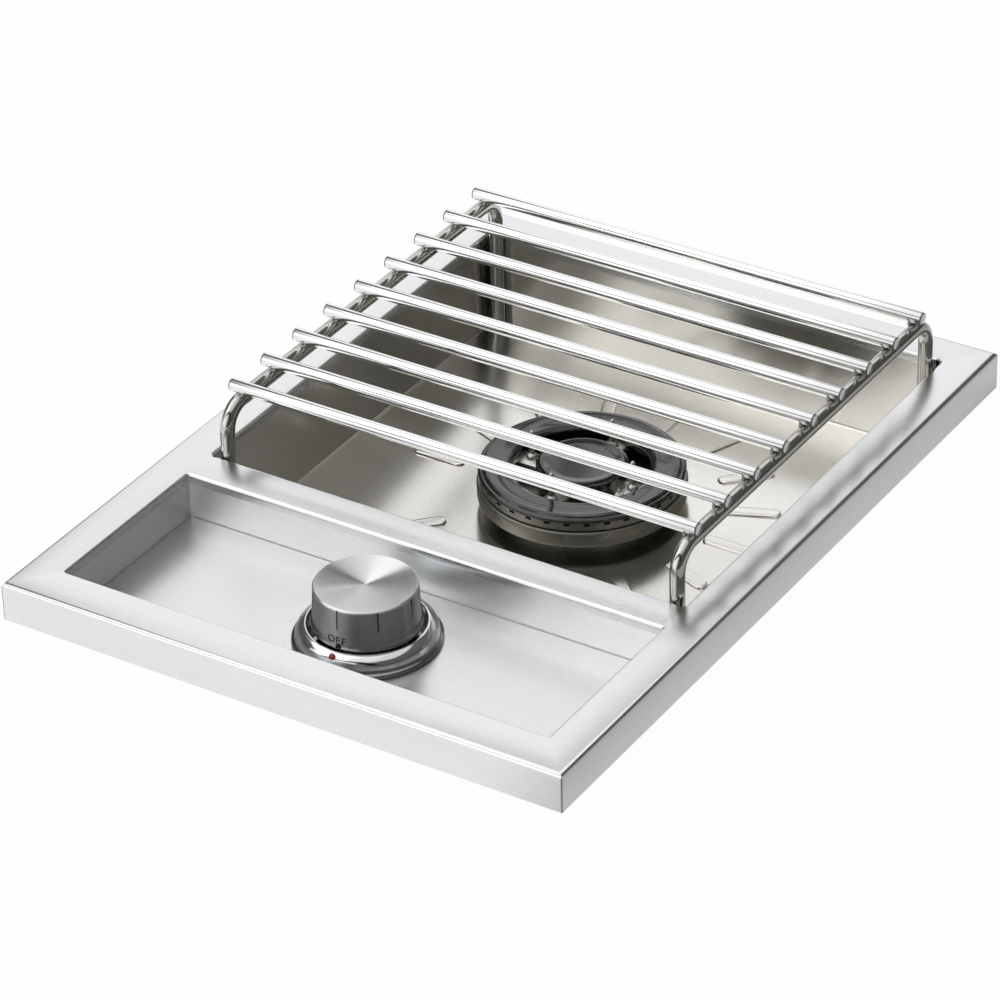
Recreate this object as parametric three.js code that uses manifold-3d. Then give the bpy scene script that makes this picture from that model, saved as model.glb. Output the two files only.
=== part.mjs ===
// Built-in side burner: a folded steel body with a control tray and a burner well, a ring burner,
// a push-and-turn gas valve with its pipework, and a lift-off rod grate.
// Millimetres, +X right, +Y back, +Z up. The origin is under the middle of the casing's base.
import * as THREE from 'three';
import { mergeVertices } from 'three/addons/utils/BufferGeometryUtils.js';
import Module from 'manifold-3d';

const wasm = await Module();
wasm.setup();

// Clearances and drawing steps shared by all pieces
const seatGap = 0.3;
const cutOverrun = 5;
const roundSteps = 40;
const smallSteps = 12;
const wireSteps = 8;
const bendSteps = 4;
const cornerSteps = 3;
const hexagonSides = 6;
const quarterTurn = Math.PI / 2;
const fullTurn = Math.PI * 2;

// Top frame
const frameWidth = 370;
const frameDepth = 505;
const skirtHeight = 25;
const sheet = 1.2;
const edgeBend = 1.6;
const seatLipWidth = 12;
const sideBorder = 25;
const frontBorder = 28;
const bridgeBorder = 24.5;
const rearBorder = 26;
const holeFlangeDrop = 6;
const holeEdgeBend = 2.4;
const notchRadius = 2.2;

// Control tray and burner well
const trayRun = 120;
const trayDepth = 29;
const wellDepth = 66;
const panCornerRadius = 4;
const ribCount = 16;
const flatPlace = 9; // the one place in the ring where the photograph shows flat floor
const ribInnerRadius = 84;
const ribOuterRadius = 120;
const ribWidth = 9.5;
const ribRise = 1.6;
const ribSlope = 1.5;

// Casing under the frame
const casingHeight = 115;
const casingSideGap = 5;
const casingEndGap = 6.5;
const casingSheet = 1;
const casingFlange = 7.5;
const ventRows = 2;
const ventsPerRow = 5;
const ventWidth = 7;
const ventLength = 40;
const ventPitch = 22;
const ventRowOffset = 150;
const sideVentHeight = 6;
const sideVentRise = 22;
const studRadius = 2;
const studHoleClearance = 0.4;
const studLength = 12;
const studNutRadius = 4;
const studNutHeight = 3.2;
const studInset = 4;
const studReachShare = 0.8;

// Knob, bezel and stem
const knobOffset = 5.2;
const knobRise = 7.8;
const knobTopRadius = 30;
const knobEdgeChamfer = 0.8;
const knobWaistRadius = 31.1;
const knobBaseRadius = 32;
const knobSkirtHeight = 2.4;
const knobHeight = 25.8;
const knobWall = 1.4;
const knobCoreRadius = 28;
const knobCoreFoot = 4;
const knobHubRadius = 8;
const knobHubDrop = 5;
const hubBoreGap = 0.25;
const pushTravel = 3;
const bezelRadius = 43.2;
const bezelRimHeight = 2.8;
const bezelShoulder = 2.4;
const bezelLipRadius = 35.6;
const bezelLipWidth = 1.3;
const bezelHeight = 11.6;
const bezelFlangeRadius = 20;
const bezelFlange = 1;
const dotRadius = 1.7;
const dotPlaceShare = 0.3;
const dotProud = 0.35;
const dotDepth = 1.2;
const stemRadius = 4;
const stemFlat = 1.2;
const stemTopDrop = 6;
const trayHoleRadius = 6;

// Valve under the tray
const stemCollarRadius = 16.5;
const stemCollarThickness = 1.5;
const stemCollarDrop = 3;
const bracketSheet = 1.2;
const bracketHalfWidth = 19;
const bracketFoot = 14;
const bracketRun = 48;
const bracketDrop = 15;
const nutRadius = 11.8;
const nutHeight = 3.4;
const bonnetRadius = 8.6;
const bonnetGap = 0.3;
const bonnetLip = 1.4;
const bonnetProud = 0.6;
const springBoreRadius = 6.7;
const retainerRadius = 6.2;
const retainerThickness = 1.3;
const springWire = 0.9;
const springTurns = 4;
const springCoilSteps = 8;
const springSides = 5;
const springRadius = 5.4;
const springLength = 9;
const plugRadius = 7;
const plugGap = 0.5;
const plugHeight = 24;
const plugSocketDepth = 14;
const stemSocketGap = 0.3;
const stemInPlug = 8;
const valveWidth = 30;
const valveRun = 20;
const valveFloor = 6;
const gasPortRadius = 2.5;
const portBossRadius = 6.5;
const portBossLength = 5;
const outletSpacing = 14;
const screwPlace = 26;
const screwHeadRadius = 3.4;
const screwHeadHeight = 2.2;
const screwShankRadius = 2;
const screwHoleGap = 0.4;
const screwTail = 3;

// Piezo igniter beside the valve
const piezoRadius = 5.5;
const piezoHeight = 34;
const piezoNeckRadius = 4.2;
const piezoClipRadius = 4.9;
const piezoClipThickness = 1.2;
const piezoButtonRadius = 2.4;
const piezoButtonSink = 8;

// Pipework
const outerTubeRadius = 4.5;
const innerTubeRadius = 3.5;
const supplyPipeRadius = 6;
const pipeWall = 1;
const pipeBend = 14;
const leadRadius = 1.4;
const leadBend = 8;
const pipeRunDrop = 20;
const supplyPipeShift = 62;
const nippleRadius = 10;
const nippleBore = 5.5;
const nippleProud = 14;
const nippleInside = 14;
const nippleHoleGap = 0.5;
const lockNutRadius = 15;
const lockNutHeight = 5;

// Ring burner
const cupRadius = 63.5;
const cupTopDrop = 48.6;
const cupHeight = 11;
const cupWall = 3.2;
const cupFloor = 2.6;
const cupLipChamfer = 1;
const pedestalInset = 12.5;
const cupNeckRadius = 22;
const cupThroat = 6.5;
const neckHoleGap = 0.4;
const crownStep = 1.9;
const crownWall = 9;
const crownHeight = 5.6;
const crownSpigotStep = 2;
const crownSpigotDrop = 3;
const crownPorts = 32;
const portWidth = 2;
const portHeight = 2;
const portLead = 3;
const armCount = 4;
const armWidth = 7.6;
const armThickness = 3.8;
const armDrop = 6.2;
const innerCrownShare = 0.4157;
const innerCrownWall = 5;
const innerCrownRise = 2.3;
const innerCrownDrop = 4.5;
const innerPorts = 16;
const postRadius = 1.7;
const postPlaceShare = 0.5543;
const postTopDrop = 27;
const outerCapStep = 0.9;
const outerCapHoleShare = 0.6457;
const outerCapEdge = 1.6;
const outerCapRise = 3.8;
const outerCapSlope = 5.1;
const outerCapInnerSlope = 3;
const outerCapSkirt = 4;
const outerCapSkirtWall = 2.2;
const innerCapOverhang = 1.4;
const innerCapEdge = 1.4;
const innerCapRise = 3.3;
const innerCapSlope = 2.4;
const innerCapDish = 0.7;
const innerCapSpigotGap = 2.4;
const innerCapSpigotDrop = 2.6;

// Injector holder, jets and ignition electrode
const holderRim = 6;
const holderFlange = 4;
const holderBodyShare = 0.4252;
const holderHeight = 30;
const jetBoreRadius = 9;
const jetBoreDepth = 14;
const jetRadius = 4.2;
const jetHeight = 8;
const jetTipRadius = 2;
const jetTipHeight = 3;
const jetOrifice = 0.8;
const jetSpacing = 22;
const holderPortDrop = 21.2;
const burnerScrewShare = 0.63;
const burnerScrewCount = 4;
const burnerScrewHead = 4;
const burnerScrewHeadHeight = 2.4;
const burnerScrewShank = 2.2;
const burnerScrewTail = 2;
const electrodePlaceShare = 0.5433;
const electrodeRadius = 2.6;
const electrodeTipRadius = 0.8;
const electrodeTipLength = 3.2;
const electrodeTopDrop = 44;
const electrodeAngleShare = -0.055;
const electrodeHoleGap = 0.4;
const terminalRadius = 3.6;
const terminalHeight = 8;
const terminalDrop = 4;

// Grate
const rodCount = 9;
const rodRadius = 4;
const rodEndGap = 2.2;
const rodEndInset = 20.05;
const rodChamfer = 0.7;
const rodRise = 38.5;
const rodSteps = 14;
const railRadius = 4.5;
const railInset = 8;
const legInset = 5.6;
const railBend = 15;
const railSteps = 12;

// Levels and lines that follow from the sizes above
const pedestalRadius = cupRadius - pedestalInset;
const innerCrownRadius = cupRadius * innerCrownShare;
const postPlace = cupRadius * postPlaceShare;
const outerCapHole = cupRadius * outerCapHoleShare;
const outerCapInnerEdge = outerCapHole + outerCapInnerSlope;
const holderBodyRadius = cupRadius * holderBodyShare;
const burnerScrewPlace = cupRadius * burnerScrewShare;
const electrodePlace = cupRadius * electrodePlaceShare;
const holderRadius = burnerScrewPlace + holderRim;
const innerCapSpigot = innerCrownRadius - innerCrownWall - innerCapSpigotGap;
const topZ = casingHeight;
const frontY = -frameDepth / 2;
const backY = frameDepth / 2;
const holeWidth = frameWidth - 2 * sideBorder;
const trayFront = frontY + frontBorder;
const trayBack = trayFront + trayRun;
const wellFront = trayBack + bridgeBorder;
const wellBack = backY - rearBorder;
const wellRun = wellBack - wellFront;
const trayMidY = (trayFront + trayBack) / 2;
const wellMidY = (wellFront + wellBack) / 2;
const trayFloorZ = topZ - trayDepth;
const trayUnderZ = trayFloorZ - sheet;
const wellFloorZ = topZ - wellDepth;
const wellUnderZ = wellFloorZ - sheet;
const panTopZ = topZ - holeFlangeDrop - seatGap;
const knobY = trayMidY + knobOffset;
const casingWidth = holeWidth + 2 * casingSideGap;
const casingDepth = wellBack - trayFront + 2 * casingEndGap;
const rodLength = holeWidth - 2 * rodEndGap;
const rodPitch = (wellRun - 2 * rodEndInset) / (rodCount - 1);

// Helpers: closed solids from three.js shapes, and the cuts and joins on them

function closed(source) {
  const geometry = source.index ? source.clone() : mergeVertices(source.clone());
  geometry.deleteAttribute('normal');
  geometry.deleteAttribute('uv');
  const merged = mergeVertices(geometry);
  const kept = [];
  const order = merged.index.array;
  for (let i = 0; i < order.length; i += 3) {
    const [a, b, c] = [order[i], order[i + 1], order[i + 2]];
    if (a !== b && b !== c && c !== a) {
      kept.push(a, b, c);
    }
  }
  if (signedVolume(merged.attributes.position, kept) < 0) {
    kept.reverse();
  }
  merged.setIndex(kept);
  return merged;
}

function signedVolume(position, order) {
  const [a, b, c] = [new THREE.Vector3(), new THREE.Vector3(), new THREE.Vector3()];
  let sum = 0;
  for (let i = 0; i < order.length; i += 3) {
    a.fromBufferAttribute(position, order[i]);
    b.fromBufferAttribute(position, order[i + 1]);
    c.fromBufferAttribute(position, order[i + 2]);
    sum += a.dot(b.cross(c));
  }
  return sum;
}

function solid(source) {
  const geometry = closed(source);
  const vertProperties = new Float32Array(geometry.attributes.position.array);
  const triVerts = new Uint32Array(geometry.index.array);
  return new wasm.Manifold(new wasm.Mesh({ numProp: 3, vertProperties, triVerts }));
}

function geometryOf(body) {
  const mesh = body.getMesh();
  const geometry = new THREE.BufferGeometry();
  geometry.setAttribute('position', new THREE.BufferAttribute(mesh.vertProperties, 3));
  geometry.setIndex(new THREE.BufferAttribute(mesh.triVerts, 1));
  geometry.computeVertexNormals();
  return geometry;
}

function block(width, run, lowZ, highZ, x = 0, y = 0) {
  const height = highZ - lowZ;
  const geometry = new THREE.BoxGeometry(width, run, height);
  return solid(geometry.translate(x, y, lowZ + height / 2));
}

function taperedBlock(lowWidth, lowRun, highWidth, highRun, lowZ, highZ, x = 0, y = 0) {
  const geometry = new THREE.BoxGeometry(1, 1, highZ - lowZ);
  const position = geometry.attributes.position;
  for (let i = 0; i < position.count; i += 1) {
    const high = position.getZ(i) > 0;
    position.setX(i, position.getX(i) * (high ? highWidth : lowWidth));
    position.setY(i, position.getY(i) * (high ? highRun : lowRun));
  }
  return solid(geometry.translate(x, y, (lowZ + highZ) / 2));
}

function roundedOutline(width, run, radius) {
  const [w, d] = [width / 2 - radius, run / 2 - radius];
  const outline = new THREE.Shape();
  outline.absarc(w, d, radius, 0, quarterTurn);
  outline.absarc(-w, d, radius, quarterTurn, 2 * quarterTurn);
  outline.absarc(-w, -d, radius, 2 * quarterTurn, 3 * quarterTurn);
  outline.absarc(w, -d, radius, 3 * quarterTurn, fullTurn);
  return outline;
}

function roundedBlock(width, run, radius, lowZ, highZ, y) {
  const options = { depth: highZ - lowZ, bevelEnabled: false, curveSegments: cornerSteps };
  const geometry = new THREE.ExtrudeGeometry(roundedOutline(width, run, radius), options);
  return solid(geometry.translate(0, y, lowZ));
}

function turned(profile, steps = roundSteps, x = 0, y = 0) {
  const points = profile.map(([radius, z]) => new THREE.Vector2(radius, z));
  const geometry = new THREE.LatheGeometry(points, steps);
  return solid(geometry.rotateX(quarterTurn).translate(x, y, 0));
}

function disc(radius, lowZ, highZ, steps = smallSteps, x = 0, y = 0) {
  return turned([[0, lowZ], [radius, lowZ], [radius, highZ], [0, highZ]], steps, x, y);
}

function bar(radius, length, steps, chamfer = 0) {
  const end = length / 2;
  const rim = radius - chamfer;
  const ends = chamfer > 0
    ? [[0, -end], [rim, -end], [radius, chamfer - end], [radius, end - chamfer], [rim, end], [0, end]]
    : [[0, -end], [radius, -end], [radius, end], [0, end]];
  const geometry = new THREE.LatheGeometry(ends.map(([r, h]) => new THREE.Vector2(r, h)), steps);
  return geometry;
}

function barAlongX(radius, length, steps, x, y, z, chamfer) {
  return solid(bar(radius, length, steps, chamfer).rotateZ(quarterTurn).translate(x, y, z));
}

function barAlongY(radius, length, steps, x, y, z) {
  return solid(bar(radius, length, steps).translate(x, y, z));
}

function hexPrism(radius, lowZ, highZ, x, y, turn = 0) {
  const geometry = new THREE.CylinderGeometry(radius, radius, highZ - lowZ, hexagonSides);
  geometry.rotateX(quarterTurn);
  return solid(geometry.rotateZ(turn).translate(x, y, (lowZ + highZ) / 2));
}

// A route of straight runs with round bends, sampled only where it turns
class Route extends THREE.Curve {
  constructor(corners, bend) {
    super();
    this.stations = [];
    const last = corners.length - 1;
    this.addStation(corners[0], corners[1].clone().sub(corners[0]).normalize());
    for (let i = 1; i < last; i += 1) {
      this.addBend(corners[i - 1], corners[i], corners[i + 1], bend);
    }
    this.addStation(corners[last], corners[last].clone().sub(corners[last - 1]).normalize());
  }

  addStation(point, tangent) {
    this.stations.push({ point, tangent });
  }

  addBend(before, corner, after, bend) {
    const arriving = corner.clone().sub(before).normalize();
    const leaving = after.clone().sub(corner).normalize();
    const turn = arriving.angleTo(leaving);
    const setback = bend * Math.tan(turn / 2);
    const start = corner.clone().addScaledVector(arriving, -setback);
    const inward = leaving.clone().addScaledVector(arriving, -Math.cos(turn)).normalize();
    const centre = start.clone().addScaledVector(inward, bend);
    for (let i = 0; i <= bendSteps; i += 1) {
      const angle = (turn * i) / bendSteps;
      const point = centre.clone().addScaledVector(inward, -bend * Math.cos(angle));
      point.addScaledVector(arriving, bend * Math.sin(angle));
      const tangent = arriving.clone().multiplyScalar(Math.cos(angle));
      tangent.addScaledVector(inward, Math.sin(angle)).normalize();
      this.addStation(point, tangent);
    }
  }

  stationAt(share) {
    return this.stations[Math.round(share * (this.stations.length - 1))];
  }

  getPointAt(share, target = new THREE.Vector3()) {
    return target.copy(this.stationAt(share).point);
  }

  getTangentAt(share, target = new THREE.Vector3()) {
    return target.copy(this.stationAt(share).tangent);
  }
}

function section(radius, sides) {
  const points = [];
  for (let i = 0; i < sides; i += 1) {
    const angle = (fullTurn * i) / sides;
    points.push(new THREE.Vector2(radius * Math.cos(angle), radius * Math.sin(angle)));
  }
  return new THREE.Shape(points);
}

function routed(corners, bend, radius, sides) {
  const path = new Route(corners.map(([x, y, z]) => new THREE.Vector3(x, y, z)), bend);
  const options = { steps: path.stations.length - 1, extrudePath: path };
  return solid(new THREE.ExtrudeGeometry(section(radius, sides), options));
}

function around(count, make) {
  const pieces = [];
  for (let i = 0; i < count; i += 1) {
    pieces.push(make((fullTurn * i) / count));
  }
  return pieces;
}

function union(bodies) {
  return bodies.reduce((sum, body) => sum.add(body));
}

function minus(body, cutters) {
  return cutters.reduce((rest, cutter) => rest.subtract(cutter), body);
}

// Finishes, with the colours of the photographed object
const finishes = {
  brushed: { color: 0xc9cbcc, roughness: 0.38, metalness: 0.9 },
  tray: { color: 0xd2d3d3, roughness: 0.36, metalness: 0.9 },
  pan: { color: 0xb9b3ae, roughness: 0.32, metalness: 0.9 },
  casing: { color: 0xa9abad, roughness: 0.5, metalness: 0.8 },
  polished: { color: 0xdfe0e0, roughness: 0.16, metalness: 1 },
  chrome: { color: 0xd5d7d9, roughness: 0.08, metalness: 1 },
  knob: { color: 0x9c9b98, roughness: 0.25, metalness: 1 },
  alloy: { color: 0x8a8984, roughness: 0.5, metalness: 0.8 },
  enamel: { color: 0x35373b, roughness: 0.35, metalness: 0.1 },
  brass: { color: 0xb9974e, roughness: 0.35, metalness: 0.9 },
  zinc: { color: 0xa7a9a8, roughness: 0.45, metalness: 0.8 },
  ceramic: { color: 0xece9e2, roughness: 0.3, metalness: 0 },
  plastic: { color: 0x26272a, roughness: 0.6, metalness: 0 },
  red: { color: 0xa8241c, roughness: 0.4, metalness: 0 },
};

function piece(name, body, finish) {
  const mesh = new THREE.Mesh(geometryOf(body), new THREE.MeshStandardMaterial(finishes[finish]));
  mesh.name = name;
  return mesh;
}

function gather(meshes) {
  const group = new THREE.Group();
  group.add(...meshes);
  return group;
}

// Body: folded top frame with two openings, and the two pans welded under them

function frameHole(run, y) {
  const through = roundedBlock(holeWidth, run, panCornerRadius, topZ - skirtHeight, topZ + cutOverrun, y);
  const options = {
    depth: cutOverrun, bevelEnabled: true, bevelThickness: holeEdgeBend, bevelSize: holeEdgeBend,
    bevelSegments: 1, curveSegments: cornerSteps,
  };
  const edge = new THREE.ExtrudeGeometry(roundedOutline(holeWidth, run, panCornerRadius), options);
  return through.add(solid(edge.translate(0, y, topZ)));
}

function holeFlange(run, y) {
  const collar = 2 * (sheet + holeEdgeBend);
  return block(holeWidth + collar, run + collar, topZ - holeFlangeDrop, topZ - sheet, 0, y);
}

function flangeUndercut(run, y) {
  const outer = block(
    holeWidth + 2 * (sheet + holeEdgeBend + cutOverrun), run + 2 * (sheet + holeEdgeBend + cutOverrun),
    topZ - holeFlangeDrop - cutOverrun, topZ - sheet - holeEdgeBend, 0, y,
  );
  return outer.subtract(block(holeWidth + 2 * sheet, run + 2 * sheet, 0, topZ, 0, y));
}

function cornerNotches() {
  const notches = [];
  for (const sideX of [-1, 1]) {
    for (const y of [wellFront, wellBack]) {
      notches.push(disc(
        notchRadius, topZ - holeFlangeDrop - cutOverrun, topZ + cutOverrun, wireSteps,
        sideX * (holeWidth / 2 + notchRadius / 2), y,
      ));
    }
  }
  return notches;
}

function topFrame() {
  const straight = block(frameWidth, frameDepth, topZ - skirtHeight, topZ - edgeBend);
  const bent = taperedBlock(
    frameWidth, frameDepth, frameWidth - 2 * edgeBend, frameDepth - 2 * edgeBend, topZ - edgeBend, topZ,
  );
  const inside = block(
    frameWidth - 2 * sheet, frameDepth - 2 * sheet, topZ - skirtHeight + sheet, topZ - sheet - edgeBend,
  );
  const insideTop = taperedBlock(
    frameWidth - 2 * sheet, frameDepth - 2 * sheet,
    frameWidth - 2 * (sheet + edgeBend), frameDepth - 2 * (sheet + edgeBend),
    topZ - sheet - edgeBend, topZ - sheet,
  );
  const underside = block(
    frameWidth - 2 * seatLipWidth, frameDepth - 2 * seatLipWidth,
    topZ - skirtHeight - cutOverrun, topZ - skirtHeight + cutOverrun,
  );
  const shell = minus(straight.add(bent), [inside, insideTop, underside]);
  const holes = [[trayRun, trayMidY], [wellRun, wellMidY]];
  const flanges = holes.map(([run, y]) => holeFlange(run, y).subtract(flangeUndercut(run, y)));
  const studs = studPlaces().map(([x, y]) => (
    disc(studRadius, topZ - sheet - studLength, topZ - sheet / 2, wireSteps, x, y)
  ));
  const cuts = [...holes.map(([run, y]) => frameHole(run, y)), ...cornerNotches()];
  return minus(union([shell, ...flanges, ...studs]), cuts);
}

function pan(run, y, floorZ) {
  const outer = roundedBlock(
    holeWidth + 2 * sheet, run + 2 * sheet, panCornerRadius + sheet, floorZ - sheet, panTopZ, y,
  );
  return outer.subtract(roundedBlock(holeWidth, run, panCornerRadius, floorZ, panTopZ + cutOverrun, y));
}

function controlTray() {
  const lowZ = trayUnderZ - cutOverrun;
  const highZ = trayFloorZ + cutOverrun;
  const cutters = [disc(trayHoleRadius, lowZ, highZ, smallSteps, 0, knobY)];
  for (const side of [-1, 1]) {
    cutters.push(disc(
      screwShankRadius + screwHoleGap, lowZ, highZ, wireSteps, side * screwPlace, knobY,
    ));
  }
  return minus(pan(trayRun, trayMidY, trayFloorZ), cutters);
}

function ribOutline(width) {
  const reach = width / 2;
  const outline = new THREE.Shape();
  outline.absarc(ribOuterRadius - reach, 0, reach, -quarterTurn, quarterTurn);
  outline.absarc(ribInnerRadius + reach, 0, reach, quarterTurn, 3 * quarterTurn);
  return outline;
}

function rib(angle) {
  const options = {
    depth: sheet / 2, bevelEnabled: true, bevelThickness: ribRise,
    bevelSize: ribSlope, bevelOffset: -ribSlope, bevelSegments: 1, curveSegments: cornerSteps,
  };
  const geometry = new THREE.ExtrudeGeometry(ribOutline(ribWidth), options);
  geometry.translate(0, 0, wellFloorZ - sheet / 2);
  return solid(geometry.rotateZ(angle).translate(0, wellMidY, 0));
}

function wellPan() {
  const belowRibs = block(
    holeWidth, wellRun, wellFloorZ - ribRise - sheet - cutOverrun, wellFloorZ - sheet / 2, 0, wellMidY,
  );
  const ribs = union(around(ribCount, rib).filter((_, place) => place !== flatPlace)).subtract(belowRibs);
  const neck = disc(
    cupNeckRadius + neckHoleGap, wellUnderZ - cutOverrun, wellFloorZ + cutOverrun, roundSteps, 0, wellMidY,
  );
  const holes = [neck, ...fixingHoles(wellUnderZ - cutOverrun, wellFloorZ + cutOverrun)];
  return minus(pan(wellRun, wellMidY, wellFloorZ).add(ribs), holes);
}

function onCircle(radius, angle, make) {
  return make(radius * Math.cos(angle), wellMidY + radius * Math.sin(angle));
}

// Holes for the burner's screws and its electrode, through all that they clamp
function fixingHoles(low, high) {
  const screws = around(burnerScrewCount, (angle) => onCircle(
    burnerScrewPlace, angle + quarterTurn / 2,
    (x, y) => disc(burnerScrewShank + screwHoleGap, low, high, wireSteps, x, y),
  ));
  const electrodeHole = onCircle(electrodePlace, electrodeAngleShare * fullTurn, (x, y) => disc(
    electrodeRadius + electrodeHoleGap, low, high, wireSteps, x, y,
  ));
  return [...screws, electrodeHole];
}

// Casing: open-topped box that hangs on studs under the top sheet, with vents and the gas inlet hole

const casingTopZ = topZ - sheet - seatGap;
const pipeRunZ = wellUnderZ - pipeRunDrop;

function studPlaces() {
  const x = casingWidth / 2 + studInset;
  const y = (casingDepth / 2) * studReachShare;
  return [[-x, -y], [x, -y], [x, y], [-x, y]];
}

function casingShell() {
  const walls = block(casingWidth, casingDepth, 0, casingTopZ);
  const flange = block(
    casingWidth + 2 * casingFlange, casingDepth + 2 * casingFlange, casingTopZ - casingSheet, casingTopZ,
  );
  const inside = block(
    casingWidth - 2 * casingSheet, casingDepth - 2 * casingSheet, casingSheet, casingTopZ + cutOverrun,
  );
  const cutters = [inside, ...floorVents(), ...sideVents()];
  cutters.push(barAlongY(
    nippleRadius + nippleHoleGap, 2 * cutOverrun, smallSteps, supplyPipeShift, casingDepth / 2, pipeRunZ,
  ));
  for (const [x, y] of studPlaces()) {
    cutters.push(disc(
      studRadius + studHoleClearance, casingTopZ - cutOverrun, casingTopZ + cutOverrun, wireSteps, x, y,
    ));
  }
  return minus(walls.add(flange), cutters);
}

function ventLine(make) {
  const row = [];
  for (let i = 0; i < ventsPerRow; i += 1) {
    row.push(make((i - (ventsPerRow - 1) / 2) * ventPitch));
  }
  return row;
}

function floorVents() {
  const vents = [];
  for (let row = 0; row < ventRows; row += 1) {
    const y = (row - (ventRows - 1) / 2) * 2 * ventRowOffset;
    vents.push(...ventLine((x) => block(ventWidth, ventLength, -cutOverrun, cutOverrun, x, y)));
  }
  return vents;
}

function sideVents() {
  return ventLine((y) => block(
    casingWidth + 2 * cutOverrun, ventPitch - 2 * ventWidth,
    sideVentRise, sideVentRise + sideVentHeight, 0, y + wellMidY,
  ));
}

function casingNut([x, y]) {
  const nutTop = casingTopZ - casingSheet - seatGap;
  const lowZ = nutTop - studNutHeight;
  const bore = disc(studRadius + seatGap, lowZ - cutOverrun, nutTop + cutOverrun, wireSteps, x, y);
  return hexPrism(studNutRadius, lowZ, nutTop, x, y).subtract(bore);
}

// Ring burner, named from the well floor up

const crownRadius = cupRadius - crownStep;
const crownSpigotRadius = crownRadius - crownSpigotStep;
const outerCapRadius = cupRadius - outerCapStep;
const outerCapCrown = outerCapRadius - outerCapSlope;
const innerCapRadius = innerCrownRadius + innerCapOverhang;
const innerCapCrown = innerCapRadius - innerCapSlope;
const cupTopZ = topZ - cupTopDrop;
const cupBaseZ = cupTopZ - cupHeight;
const crownSeatZ = cupTopZ + seatGap;
const crownTopZ = crownSeatZ + crownHeight;
const outerCapZ = crownTopZ + seatGap;
const innerCrownTopZ = crownTopZ + innerCrownRise;
const innerCapZ = innerCrownTopZ + seatGap;
const pedestalZ = wellFloorZ + seatGap;
const holderTopZ = wellUnderZ - seatGap;

function burnerCup() {
  const body = turned([
    [0, wellUnderZ], [cupNeckRadius, wellUnderZ], [cupNeckRadius, pedestalZ], [pedestalRadius, pedestalZ],
    [pedestalRadius, cupBaseZ], [cupRadius - cupLipChamfer, cupBaseZ],
    [cupRadius, cupBaseZ + cupLipChamfer], [cupRadius, cupTopZ - cupLipChamfer],
    [cupRadius - cupLipChamfer, cupTopZ], [cupRadius - cupWall, cupTopZ],
    [cupRadius - cupWall, cupBaseZ + cupFloor], [0, cupBaseZ + cupFloor],
  ], roundSteps, 0, wellMidY);
  const throats = [-1, 1].map((side) => disc(
    cupThroat, wellUnderZ - cutOverrun, cupTopZ, smallSteps, side * (jetSpacing / 2), wellMidY,
  ));
  return minus(body, [...throats, ...fixingHoles(wellUnderZ - cutOverrun, cupTopZ)]);
}

function burnerScrew(angle) {
  const headZ = cupBaseZ + cupFloor + seatGap;
  const tailZ = holderTopZ - holderFlange - burnerScrewTail;
  return onCircle(burnerScrewPlace, angle + quarterTurn / 2, (x, y) => turned([
    [0, tailZ], [burnerScrewShank, tailZ], [burnerScrewShank, headZ], [burnerScrewHead, headZ],
    [burnerScrewHead, headZ + burnerScrewHeadHeight], [0, headZ + burnerScrewHeadHeight],
  ], wireSteps, x, y));
}

function portCutters(count, reach, lead, highZ) {
  return around(count, (angle) => {
    const geometry = new THREE.BoxGeometry(lead, portWidth, portHeight + cutOverrun);
    geometry.translate(reach, 0, highZ - portHeight + (portHeight + cutOverrun) / 2);
    return solid(geometry.rotateZ(angle).translate(0, wellMidY, 0));
  });
}

function flameCrown() {
  const innerRadius = crownRadius - crownWall;
  const ring = turned([
    [innerRadius, crownSeatZ], [crownSpigotRadius - crownWall / 2, crownSeatZ - crownSpigotDrop],
    [crownSpigotRadius, crownSeatZ - crownSpigotDrop], [crownSpigotRadius, crownSeatZ],
    [crownRadius, crownSeatZ], [crownRadius, crownTopZ],
    [innerRadius, crownTopZ], [innerRadius, crownSeatZ],
  ], roundSteps, 0, wellMidY);
  const innerBaseZ = crownSeatZ - innerCrownDrop;
  const innerRing = turned([
    [innerCrownRadius - innerCrownWall, innerBaseZ], [innerCrownRadius, innerBaseZ],
    [innerCrownRadius, innerCrownTopZ], [innerCrownRadius - innerCrownWall, innerCrownTopZ],
    [innerCrownRadius - innerCrownWall, innerBaseZ],
  ], roundSteps, 0, wellMidY);
  const armZ = crownTopZ - armDrop;
  const armInner = innerCrownRadius - innerCrownWall / 2;
  const armOuter = crownRadius - crownWall / 2;
  const arms = around(armCount, (angle) => {
    const geometry = new THREE.BoxGeometry(armOuter - armInner, armWidth, armThickness);
    geometry.translate((armOuter + armInner) / 2, 0, armZ);
    return solid(geometry.rotateZ(angle).translate(0, wellMidY, 0));
  });
  const postTopZ = topZ - postTopDrop;
  const posts = around(armCount, (angle) => onCircle(postPlace, angle, (x, y) => turned([
    [0, armZ], [postRadius, armZ], [postRadius, postTopZ - postRadius],
    [postRadius / 2, postTopZ], [0, postTopZ],
  ], wireSteps, x, y)));
  const ports = portCutters(crownPorts, crownRadius, 2 * portLead, crownTopZ);
  const innerPortCuts = portCutters(innerPorts, innerCrownRadius, 2 * portLead, innerCrownTopZ);
  return minus(union([ring, innerRing, ...arms, ...posts]), [...ports, ...innerPortCuts]);
}

function outerCap() {
  const skirt = outerCapHole + outerCapSkirtWall;
  return turned([
    [outerCapHole, outerCapZ - outerCapSkirt], [skirt, outerCapZ - outerCapSkirt], [skirt, outerCapZ],
    [outerCapRadius, outerCapZ], [outerCapRadius, outerCapZ + outerCapEdge],
    [outerCapCrown, outerCapZ + outerCapRise], [outerCapInnerEdge, outerCapZ + outerCapRise],
    [outerCapHole, outerCapZ + outerCapEdge], [outerCapHole, outerCapZ - outerCapSkirt],
  ], roundSteps, 0, wellMidY);
}

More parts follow.
